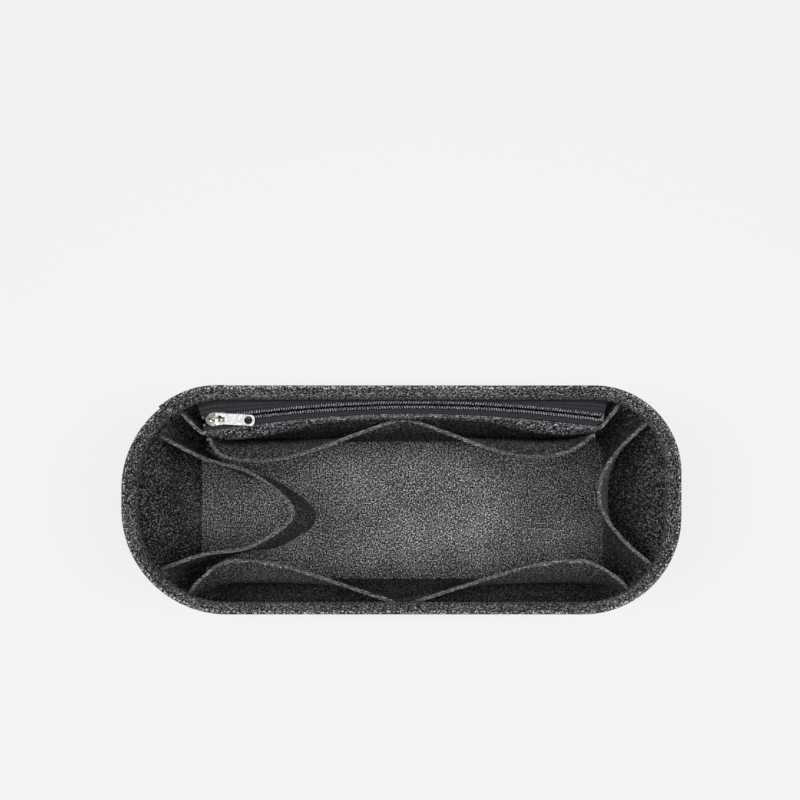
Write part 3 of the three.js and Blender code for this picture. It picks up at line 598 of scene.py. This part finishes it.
zipLine = {
    "radius": 745, "apexX": 8, "drop": 6.5, "setback": 2, "halvings": 40,
    "chainStart": -117, "chainEnd": 102.5, "stop": 1.6, "margin": 0.3,
    "tapeEdge": 1.25, "tapeFold": 4.35, "tapeTurn": 4.5, "tapeSlant": 3.2, "tapeTuck": 5,
}
zipHeight = hemEdge - zipLine["drop"]
zipApexY = planAt(hemEdge)[1] - hemFace - zipLine["setback"]
zipCentre = Vector((zipLine["apexX"], zipApexY - zipLine["radius"], 0))
tapeStart = zipLine["chainStart"] - gap - zipLine["stop"] - zipLine["margin"]
tapeEnd = zipLine["chainEnd"] + gap + zipLine["stop"] + zipLine["margin"]


# along the zip towards +X, across it towards the front
def zipPoint(along, across, z):
    angle = along / zipLine["radius"]
    reach = zipLine["radius"] - across
    x = zipCentre.x + reach * math.sin(angle)
    return Vector((x, zipCentre.y + reach * math.cos(angle), z))


# how far in from the back wall a line beside the zip lies
def zipInset(along, z, across):
    foot = onWall("back", along, z, 0)
    inward = onWall("back", along, z, 1) - foot
    offset = foot - zipCentre
    offset.z = 0
    nearest = offset.dot(inward)
    reach = zipLine["radius"] - across
    return -nearest - math.sqrt(nearest * nearest - offset.length_squared + reach * reach)


# where on the back wall a point of the zip is faced, found by halving
def stationFacing(zipAlong, across):
    low, high = -tub["rimLength"], tub["rimLength"]
    for _ in range(zipLine["halvings"]):
        middle = (low + high) / 2
        point = onWall("back", middle, zipHeight, zipInset(middle, zipHeight, across))
        along = math.atan2(point.x - zipCentre.x, point.y - zipCentre.y) * zipLine["radius"]
        if along > zipAlong:
            low = middle
        else:
            high = middle
    return (low + high) / 2


pocket = {
    "flange": 6, "seamPlace": 1, "seamHalf": 3, "mouthSkew": 0.526, "mouthLean": 1.8,
    "rounding": 0.6,
}


# how far a mouth stands open between its end, 0, and its centre seam, 1
def mouth(share, skew):
    return max(math.sin(math.pi * clamp(share) ** skew), 0)


def pairOfMouths(along, low, high, seam, skew=pocket["mouthSkew"]):
    if along < seam:
        return mouth((along - low) / (seam - pocket["seamHalf"] - low), skew)
    return mouth((high - along) / (high - seam - pocket["seamHalf"]), skew)


panel = {
    "columns": 220, "rows": 40, "rise": 1, "rightRun": 12, "leftRun": 8, "turn": 0.75,
    "cornerRoom": 0.35, "belly": 4, "lean": 0.8, "bellyLift": 6.6, "bellyTaper": 2.8,
    "centrePull": 2.2, "centreRun": 80, "pullLift": 13,
}
panelTop = zipHeight + panel["rise"]
panelAcross = zipLine["tapeFold"] + tub["tape"] / 2 + gap + felt / 2
panelLow = stationFacing(tapeEnd - zipLine["tapeSlant"] + panel["cornerRoom"], panelAcross)
panelHigh = stationFacing(tapeStart - panel["cornerRoom"], panelAcross)
panelUpright = zipHeight - zipLine["tapeTurn"] - felt
backSeam = -pocket["seamPlace"]


# the panel stands out from the wall to the zip, bellies below it and is pulled in at the seam
def panelPoint(along, z):
    v = clamp((z - pocketFoot) / (panelTop - pocketFoot))
    rise = clamp((z - pocketFoot) / (panelUpright - pocketFoot))
    fromRight = (along - panelLow) / panel["rightRun"]
    fromLeft = (panelHigh - along) / panel["leftRun"]
    ramp = math.sin(clamp(min(fromRight, fromLeft) + 1) ** panel["turn"] * math.pi / 2)
    depth = zipInset(along, panelTop, panelAcross) - seat
    opened = pairOfMouths(along, panelLow, panelHigh, backSeam)
    belly = panel["belly"] * opened ** panel["bellyTaper"]
    hump = math.sin(math.pi * v ** panel["bellyLift"])
    fromSeam = min(abs(along - backSeam) / panel["centreRun"], 1)
    dent = math.sin(math.pi * rise ** panel["pullLift"])
    pull = panel["centrePull"] * math.cos(fromSeam * math.pi / 2) ** 2 * dent
    inset = seat + ramp * depth * rise ** panel["lean"] + hump * belly - pull
    return onWall("back", along, z, inset)


def panelSurface(u, v):
    first = panelLow - panel["rightRun"] - pocket["flange"]
    last = panelHigh + panel["leftRun"] + pocket["flange"]
    return panelPoint(mix(first, last, u), mix(pocketFoot, panelTop, v))


backPocket = {
    "columns": 200, "rows": 36, "drop": 17, "bulge": 13, "skew": 0.75, "flange": 4, "panelGap": 0.5,
}
backTop = hemEdge - backPocket["drop"]


# this strip is sewn to the panel, so it stands out from the panel's face
def backSurface(u, v):
    along = mix(panelLow, panelHigh, u)
    z = mix(pocketFoot, backTop, v)
    low, high = panelLow + backPocket["flange"], panelHigh - backPocket["flange"]
    opened = pairOfMouths(along, low, high, backSeam, backPocket["skew"])
    bulge = backPocket["bulge"] * opened * v ** pocket["mouthLean"]
    across = panelPoint(along + 1, z) - panelPoint(along - 1, z)
    up = panelPoint(along, z + 1) - panelPoint(along, z - 1)
    inward = up.cross(across).normalized()
    level = Vector((inward.x, inward.y, 0)).normalized()
    return panelPoint(along, z) + inward * (felt + backPocket["panelGap"]) + level * bulge


frontPocket = {"columns": 220, "rows": 40, "drop": 6, "left": 121, "right": 130, "bulge": 24}
frontTop = hemEdge - frontPocket["drop"]


def frontSurface(u, v):
    left, right = frontPocket["left"], frontPocket["right"]
    along = mix(-left - pocket["flange"], right + pocket["flange"], u)
    bulge = frontPocket["bulge"] * pairOfMouths(along, -left, right, pocket["seamPlace"])
    z = mix(pocketFoot, frontTop, v)
    return onWall("front", along, z, seat + bulge * v ** pocket["mouthLean"])


endPocket = {
    "columns": 90, "rows": 36, "drop": 2, "front": 39, "back": 48, "bulge": 28.8, "round": 0.93,
    "lean": 1.05,
}
endTop = hemEdge - endPocket["drop"]


# the mouth is an arc on the chord between the pocket's two seams
def endSurface(u, v):
    front, back = endPocket["front"], endPocket["back"]
    along = mix(-front - pocket["flange"], back + pocket["flange"], u)
    z = mix(pocketFoot, endTop, v)
    share = (along + front) / (front + back)
    onEnd = onWall("right", along, z, seat)
    if share <= 0 or share >= 1:
        return onEnd
    arc = onWall("right", -front, z, seat).lerp(onWall("right", back, z, seat), share)
    arc.x -= endPocket["bulge"] * math.sin(math.pi * share) ** endPocket["round"]
    return onEnd.lerp(arc, v ** endPocket["lean"])


holder = {
    "columns": 150, "rows": 34, "drop": 16, "backEnd": 41, "frontEnd": 42,
    "reach": 85, "mid": 62, "near": 34, "nosePlace": 6, "steps": 24,
    "backSetback": 42, "nearBackSetback": 33, "frontSetback": 33, "nearFrontSetback": 28,
}
holderTop = hemEdge - holder["drop"]
nearly = {"end": 1e-9, "knot": 1e-4}  # keeps the spline inside its last span and its knots apart


# centripetal spline through points, as the solid's own curve runs
def splinePoint(points, share):
    spans = len(points) - 1
    place = min(share * spans, spans - nearly["end"])
    i = int(place)
    weight = place - i
    p1, p2 = points[i], points[i + 1]
    p0 = points[i - 1] if i > 0 else p1 * 2 - p2
    p3 = points[i + 2] if i + 2 < len(points) else p2 * 2 - p1

    # a knot's spacing is the square root of the distance
    def knot(a, b):
        return max((a - b).length_squared ** 0.25, nearly["knot"])

    d0, d1, d2 = knot(p0, p1), knot(p1, p2), knot(p2, p3)
    t1 = ((p1 - p0) / d0 - (p2 - p0) / (d0 + d1) + (p2 - p1) / d1) * d1
    t2 = ((p2 - p1) / d1 - (p3 - p1) / (d1 + d2) + (p3 - p2) / d2) * d1
    a = p1 * 2 - p2 * 2 + t1 + t2
    b = p2 * 3 - p1 * 3 - t1 * 2 - t2
    return a * weight ** 3 + b * weight ** 2 + t1 * weight + p1


# a flange on the wall, the loop, and the other flange
def holderSurface(u, v):
    z = mix(felt + gap, holderTop, v)
    steps = holder["steps"]
    place = u * (steps + 2) - 1
    if place < 0:
        return onWall("left", -holder["backEnd"] + place * pocket["flange"], z, seat)
    if place > steps:
        return onWall("left", holder["frontEnd"] + (place - steps) * pocket["flange"], z, seat)
    halfLength, halfWidth = planAt(holderTop)[:2]
    inside = halfWidth - felt

    def at(reach, y):
        return Vector((reach + felt - halfLength, y, z))

    points = [
        onWall("left", -holder["backEnd"], z, seat),
        at(holder["near"], inside - holder["nearBackSetback"]),
        at(holder["mid"], inside - holder["backSetback"]),
        at(holder["reach"], -holder["nosePlace"]),
        at(holder["mid"], holder["frontSetback"] - inside),
        at(holder["near"], holder["nearFrontSetback"] - inside),
        onWall("left", holder["frontEnd"], z, seat),
    ]
    return splinePoint(points, place / steps)


# where and how finely a sheet is measured for its flat size
measure = {"across": 60, "up": 40, "middle": 0.5, "stripLevel": 0.6, "tapeLevel": 0.3}


def lengthOf(points):
    return sum((b - a).length for a, b in zip(points, points[1:]))


def lengthAcross(surface, v):
    steps = measure["across"]
    return lengthOf([surface(i / steps, v) for i in range(steps + 1)])


def lengthUp(surface):
    steps = measure["up"]
    return lengthOf([surface(measure["middle"], i / steps) for i in range(steps + 1)])


def makeStrip(name, node, surface, settings):
    piece = curvedGrid(name, settings["columns"], settings["rows"], surface)
    thicken(piece, pocket["rounding"], [shadedStripFelt])
    settle(piece, "insert", node)
    long = lengthAcross(surface, measure["stripLevel"])
    lengthUp(surface) * mm


makeStrip("felt_zip_panel", "zip_pocket_panel", panelSurface, panel)
makeStrip("felt_back_pocket", "back_slip_pocket", backSurface, backPocket)
makeStrip("felt_front_pocket", "front_slip_pocket", frontSurface, frontPocket)
makeStrip("felt_end_pocket", "end_slip_pocket", endSurface, endPocket)
makeStrip("felt_bottle_holder", "bottle_holder", holderSurface, holder)

print("stage: zip")

tape = {"columns": 160, "rows": 24, "smooth": 40, "stockWidth": 10.2}  # a seam hides some
tapeFlat = zipHeight - tub["tape"] / 2
backTapeFirst = stationFacing(tapeEnd, -zipLine["tapeEdge"])
backTapeLast = stationFacing(tapeStart, -zipLine["tapeEdge"])


def makeTape(name, node, surface):
    wide = lengthUp(surface)
    long = lengthAcross(surface, measure["tapeLevel"])
    cloth = (long * mm, wide * mm)
    piece = curvedGrid(name, tape["columns"], tape["rows"], surface, cloth)
    piece.data.materials.append(shadedWovenTape)
    applyModifier(piece, "SOLIDIFY", {"thickness": tub["tape"] * mm, "offset": 0.0})
    smoothBelow(piece, tape["smooth"])
    settle(piece, "insert", node)


# from the chain to the wall, and up into the hem
def backTape(u, v):
    along = mix(backTapeFirst, backTapeLast, u)
    onTape = felt + gap + tub["tape"] / 2
    if v > 0.5:
        z = mix(tapeFlat, hemEdge + zipLine["tapeTuck"], 2 * v - 1)
        return onWall("back", along, z, onTape)
    inner = zipInset(along, tapeFlat, -zipLine["tapeEdge"])
    return onWall("back", along, tapeFlat, mix(inner, onTape, 2 * v))


# from the chain to the panel, and down along it
def frontTape(u, v):
    out = min(2 - 2 * v, 1)
    along = mix(tapeEnd - zipLine["tapeSlant"] * out, tapeStart, u)
    if v > 0.5:
        return zipPoint(along, mix(zipLine["tapeEdge"], zipLine["tapeFold"], out), tapeFlat)
    z = mix(tapeFlat - zipLine["tapeTurn"], tapeFlat, 2 * v)
    return zipPoint(along, zipLine["tapeFold"], z)


makeTape("woven_tape_back", "zip_tape_back", backTape)
makeTape("woven_tape_front", "zip_tape_front", frontTape)

coil = {
    "pitch": 1.38, "inner": 0.55, "outer": 2.4, "width": 0.68, "tall": 2.2, "slant": 24,
    "rounding": 0.36, "segments": 2, "lift": 0.25, "firstTurn": 0.25,
}
core = {"columns": 160, "rows": 2, "inner": 0.75, "outer": 2.3, "tall": 0.7, "lift": 0.7}


# one turn of the coil seen from above: a rounded bar that leans along the chain
def makeTurn():
    bpy.ops.object.select_all(action="DESELECT")
    bpy.ops.mesh.primitive_cube_add(size=1)
    model = bpy.context.object
    for point in model.data.vertices:
        x = point.co.x * coil["width"]
        y = mix(coil["inner"], coil["outer"], point.co.y + 0.5)
        z = (point.co.z + 0.5) * coil["tall"]
        point.co = Vector((x, y, z)) * mm
    bpy.ops.object.mode_set(mode="EDIT")
    bpy.ops.mesh.select_all(action="SELECT")
    bpy.ops.mesh.bevel(offset=coil["rounding"] * mm, segments=coil["segments"], affect="EDGES")
    bpy.ops.object.mode_set(mode="OBJECT")
    bpy.ops.object.shade_smooth()
    model.data.materials.append(coilNylonGlintPainted)
    return model


# side is 1 for the half at the front, whose turns lie between those of the half at the back
def makeCoil(name, node, side):
    model = makeTurn()
    length = zipLine["chainEnd"] - zipLine["chainStart"]
    count = round(length / coil["pitch"])
    first = coil["firstTurn"] + (0.5 if side > 0 else 0.0)
    lean = Matrix.Rotation(math.radians(coil["slant"]) * side, 4, "Z")
    flip = Matrix.Rotation(math.pi if side > 0 else 0, 4, "Z")
    places = []
    for i in range(count):
        along = zipLine["chainStart"] + (i + first) * length / count
        foot = Matrix.Translation(zipPoint(along, 0, zipHeight + coil["lift"]) * mm)
        turn = Matrix.Rotation(-along / zipLine["radius"], 4, "Z")
        places.append(foot @ turn @ lean @ flip)
    piece = copiesJoined(name, model, places)
    bpy.data.objects.remove(model)

    # the yarn that the turns are wound on, near black so that it paints the shade between them
    def coreSurface(u, v):
        along = mix(zipLine["chainStart"], zipLine["chainEnd"], u)
        across = side * mix(core["inner"], core["outer"], v)
        return zipPoint(along, across, zipHeight + core["lift"])

    yarn = curvedGrid(name + "_core", core["columns"], core["rows"], coreSurface)
    yarn.data.materials.append(coreNylonShadePainted)
    applyModifier(yarn, "SOLIDIFY", {"thickness": core["tall"] * mm, "offset": 0.0})
    selectOnly(piece)
    yarn.select_set(True)
    bpy.ops.object.join()
    settle(piece, "insert", node)


makeCoil("nylon_coil_back", "zip_coil_back", -1)
makeCoil("nylon_coil_front", "zip_coil_front", 1)

casting = {
    "slider": 0.22, "tab": 0.24, "stop": 0.3, "segments": 3, "edge": 35, "flat": 2, "merge": 0.01,
    "flatWeight": 100,
}


# the solid's own shape with its edges rounded, as a die and a polishing barrel leave them
def makeCasting(name, node, body, rounding, finish):
    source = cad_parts[node]
    piece = source.copy()
    piece.data = source.data.copy()
    rename(piece, name)
    bpy.context.collection.objects.link(piece)
    selectOnly(piece)
    bpy.ops.object.mode_set(mode="EDIT")
    bpy.ops.mesh.select_all(action="SELECT")
    bpy.ops.mesh.remove_doubles(threshold=casting["merge"] * mm)
    bpy.ops.mesh.dissolve_limited(angle_limit=math.radians(casting["flat"]))
    bpy.ops.object.mode_set(mode="OBJECT")
    applyModifier(piece, "BEVEL", {
        "width": rounding * mm, "segments": casting["segments"], "limit_method": "ANGLE",
        "angle_limit": math.radians(casting["edge"]), "harden_normals": False,
    })
    smoothBelow(piece, casting["edge"])
    # flats stay flat up to the rounding
    applyModifier(piece, "WEIGHTED_NORMAL", {"weight": casting["flatWeight"], "keep_sharp": True})
    piece.data.materials.clear()
    piece.data.materials.append(finish)
    settle(piece, body, node)


makeCasting("cast_slider", "zip_slider_body", "zip_slider", casting["slider"], sliderNickelShadePainted)
makeCasting("cast_pull_tab", "zip_pull_tab", "pull_tab", casting["tab"], polishedNickel)
for stop in ("top_stop_back", "top_stop_front", "bottom_stop"):
    makeCasting("cast_" + stop, "zip_" + stop, "insert", casting["stop"], stopNickelShadePainted)

print("stage: stitches")

stitch = {
    "length": 2.7, "pitch": 3.3, "radius": 0.34, "dip": 0.3, "lift": 0.16,
    "sides": 6, "rings": 7, "tip": 0.95, "thinnest": 0.35, "fullest": 1.4,
    "rise": 3, "end": 3.6, "edge": 3.2, "lapClear": 2, "footShort": 10,
    "downSteps": 40, "roundSteps": 300, "topSteps": 200, "probe": 1e-3,
}


# one stitch: a short thread whose ends pull down into the felt
def makeStitch():
    bpy.ops.object.select_all(action="DESELECT")
    bpy.ops.mesh.primitive_uv_sphere_add(segments=stitch["sides"], ring_count=stitch["rings"],
                                         radius=1)
    model = bpy.context.object
    for point in model.data.vertices:
        x, y, z = point.co.z, point.co.y, -point.co.x
        girth = max(math.sqrt(y * y + z * z), stitch["thinnest"])
        full = 1 / girth if abs(x) < stitch["tip"] else 1
        thick = stitch["radius"] * min(full, stitch["fullest"])
        dip = stitch["dip"] * x * x
        point.co = Vector((x * stitch["length"] / 2, y * thick, z * thick - dip)) * mm
    bpy.ops.object.shade_smooth()
    model.data.materials.append(sewing)
    return model


# stitches at even places along a line of points, each on the face that its out points from
def rowOfStitches(node, points, outs):
    lengths = [0.0]
    for a, b in zip(points, points[1:]):
        lengths.append(lengths[-1] + (b - a).length)
    count = max(int(lengths[-1] / stitch["pitch"]), 2)
    places = []
    i = 0
    for k in range(count):
        want = (k + 0.5) * lengths[-1] / count
        while lengths[i + 1] < want:
            i += 1
        share = (want - lengths[i]) / (lengths[i + 1] - lengths[i])
        point = points[i].lerp(points[i + 1], share)
        out = outs[i].lerp(outs[i + 1], share).normalized()
        places.append(placeAt(point + out * stitch["lift"], points[i + 1] - points[i], out))
    piece = copiesJoined("stitches_" + node.replace("_thread", ""), stitchModel, places)
    settle(piece, "insert", node)


# stitches on the face of a strip that looks into the tub
def seamOn(node, surface, places):
    step = stitch["probe"]
    points, outs = [], []
    for u, v in places:
        across = surface(min(u + step, 1), v) - surface(max(u - step, 0), v)
        up = surface(u, min(v + step, 1)) - surface(u, max(v - step, 0))
        out = up.cross(across).normalized()
        points.append(surface(u, v) + out * felt / 2)
        outs.append(out)
    rowOfStitches(node, points, outs)


def seamDown(node, surface, tall, u):
    steps = stitch["downSteps"]
    low, high = stitch["end"], tall - stitch["end"]
    seamOn(node, surface, [(u, mix(low, high, i / steps) / tall) for i in range(steps + 1)])


# stitches on the wall, at distances and heights; inward is 1 inside the hem and -1 outside the tub
def seamOnWall(node, places, inset, inward):
    points, outs = [], []
    for distance, z in places:
        point = wallPoint(distance, z, inset)
        points.append(point)
        outs.append((wallPoint(distance, z, inset + inward) - point).normalized())
    rowOfStitches(node, points, outs)


def seamRound(node, z, inset, start, finish, inward):
    steps = stitch["roundSteps"]
    last = perimeterAt(z) + finish
    seamOnWall(node, [(mix(start, last, i / steps), z) for i in range(steps + 1)], inset, inward)


def seamUpLap(node):
    steps = stitch["downSteps"]
    middle = wall["lapPlace"] + wall["lapLength"] / 2
    low, high = 2 * stitch["rise"], tub["height"] - stitch["rise"]
    places = [(middle, mix(low, high, i / steps)) for i in range(steps + 1)]
    seamOnWall(node, places, -wall["lapLift"], -1)


stitchModel = makeStitch()
pastLap = lapEnd + gap + stitch["lapClear"]
beforeLap = wall["lapPlace"] - stitch["footShort"]
hemRow = hemEdge + stitch["rise"]
seamRound("hem_seam_thread", hemRow, hemFace, pastLap, lapEnd - stitch["lapClear"], 1)
seamRound("base_seam_thread", stitch["rise"], 0, pastLap, beforeLap, -1)
seamUpLap("lap_seam_thread")

flangeHalf = pocket["flange"] / 2
backTall = backTop - pocketFoot
backSpan = panelHigh - panelLow
backHalf = backPocket["flange"] / 2
seamDown("back_pocket_centre_thread", backSurface, backTall, (backSeam - panelLow) / backSpan)
seamDown("back_pocket_left_thread", backSurface, backTall, 1 - backHalf / backSpan)
seamDown("back_pocket_right_thread", backSurface, backTall, backHalf / backSpan)

frontTall = frontTop - pocketFoot
frontSpan = frontPocket["left"] + frontPocket["right"] + 2 * pocket["flange"]
frontMiddle = (pocket["seamPlace"] + frontPocket["left"] + pocket["flange"]) / frontSpan
seamDown("front_pocket_centre_thread", frontSurface, frontTall, frontMiddle)
seamDown("front_pocket_left_thread", frontSurface, frontTall, flangeHalf / frontSpan)
seamDown("front_pocket_right_thread", frontSurface, frontTall, 1 - flangeHalf / frontSpan)

endTall = endTop - pocketFoot
endSpan = endPocket["front"] + endPocket["back"] + 2 * pocket["flange"]
seamDown("end_pocket_front_thread", endSurface, endTall, flangeHalf / endSpan)
seamDown("end_pocket_back_thread", endSurface, endTall, 1 - flangeHalf / endSpan)

holderSeam = 0.5 / (holder["steps"] + 2)  # the middle of a flange
seamDown("holder_back_thread", holderSurface, holderTop - felt, holderSeam)
seamDown("holder_front_thread", holderSurface, holderTop - felt, 1 - holderSeam)

panelTall = panelTop - pocketFoot
panelSpan = backSpan + panel["rightRun"] + panel["leftRun"] + 2 * pocket["flange"]
seamDown("zip_panel_left_thread", panelSurface, panelTall, 1 - flangeHalf / panelSpan)
seamDown("zip_panel_right_thread", panelSurface, panelTall, flangeHalf / panelSpan)
topFirst = (pocket["flange"] + panel["rightRun"]) / panelSpan
topLast = 1 - (pocket["flange"] + panel["leftRun"]) / panelSpan
topRow = 1 - stitch["edge"] / panelTall
topSteps = stitch["topSteps"]
topPlaces = [(mix(topFirst, topLast, i / topSteps), topRow) for i in range(topSteps + 1)]
seamOn("zip_panel_top_thread", panelSurface, topPlaces)
bpy.data.objects.remove(stitchModel)

print("stage: floor, light and camera")

# the floor and the air are pale to the camera and in reflections, and light the object plainly
studio = {
    "floorSize": 8, "floorDrop": 0.4, "paper": "#f4f4f4", "paperRoughness": 0.9,
    "glow": "#eeeeee", "glowShare": 0.85, "airSeen": 0.9, "fill": 0.058,
    "lampPlace": (0.02, -0.05, 1.5), "lampSize": (1.7, 0.36), "lampPower": 34.0,
}
photoView = {
    "place": (0.0046, -0.0193, 0.632), "lens": 40.635, "sensor": 36, "shift": (-0.0125, 0.17),
    "nearest": 0.01,
}


def makeFloor():
    bpy.ops.object.select_all(action="DESELECT")
    bpy.ops.mesh.primitive_plane_add(size=studio["floorSize"],
                                     location=(0, 0, -studio["floorDrop"] * mm))
    floor = bpy.context.object
    floor.name = "studio_floor"
    bpy.ops.object.transform_apply(location=True)
    material, shader = newMaterial("matt white paper")
    setShader(material, shader, {
        "Base Color": colour(studio["paper"]), "Roughness": studio["paperRoughness"],
    })
    path = addNode(material, "ShaderNodeLightPath")
    glow = addNode(material, "ShaderNodeEmission",
                   {"Color": colour(studio["glow"]), "Strength": 1.0})
    seen = addNode(material, "ShaderNodeMath", {"operation": "MAXIMUM"},
                   {0: path.outputs["Is Camera Ray"], 1: path.outputs["Is Glossy Ray"]})
    share = addNode(material, "ShaderNodeMath", {"operation": "MULTIPLY", 1: studio["glowShare"]},
                    {0: seen.outputs[0]})
    blend = addNode(material, "ShaderNodeMixShader", None,
                    {0: share.outputs[0], 1: shader.outputs["BSDF"], 2: glow.outputs["Emission"]})
    output = material.node_tree.nodes["Material Output"]
    material.node_tree.links.new(blend.outputs["Shader"], output.inputs["Surface"])
    floor.data.materials.append(material)


def makeLight():
    world = bpy.data.worlds.new("studio air")
    bpy.context.scene.world = world
    world.use_nodes = True
    sky = world.node_tree.nodes["Background"]
    sky.inputs["Color"].default_value = (1, 1, 1, 1)
    path = addNode(world, "ShaderNodeLightPath")
    seen = path.outputs["Is Camera Ray"]
    for kind in ("Is Glossy Ray", "Is Transmission Ray"):
        adder = addNode(world, "ShaderNodeMath", {"operation": "ADD"},
                        {0: seen, 1: path.outputs[kind]})
        seen = adder.outputs[0]
    level = addNode(world, "ShaderNodeMix",
                    {"data_type": "FLOAT", 2: studio["fill"], 3: studio["airSeen"]}, {0: seen})
    world.node_tree.links.new(level.outputs[0], sky.inputs["Strength"])

    bpy.ops.object.light_add(type="AREA", location=studio["lampPlace"])
    lamp = bpy.context.object
    lamp.name = "soft_box"
    lamp.data.shape = "RECTANGLE"
    lamp.data.size, lamp.data.size_y = studio["lampSize"]
    lamp.data.energy = studio["lampPower"]


# straight down, as in the photo, with the frame shifted towards the back
def makeCamera():
    bpy.ops.object.camera_add(location=photoView["place"], rotation=(0, 0, 0))
    camera = bpy.context.object
    camera.name = "photo_camera"
    camera.data.lens = photoView["lens"]
    camera.data.sensor_width = photoView["sensor"]
    camera.data.shift_x, camera.data.shift_y = photoView["shift"]
    camera.data.clip_start = photoView["nearest"]
    camera.data.dof.use_dof = False
    bpy.context.scene.camera = camera
    bpy.context.scene.view_settings.view_transform = "Standard"


makeFloor()
makeLight()
makeCamera()

print("stage: done")
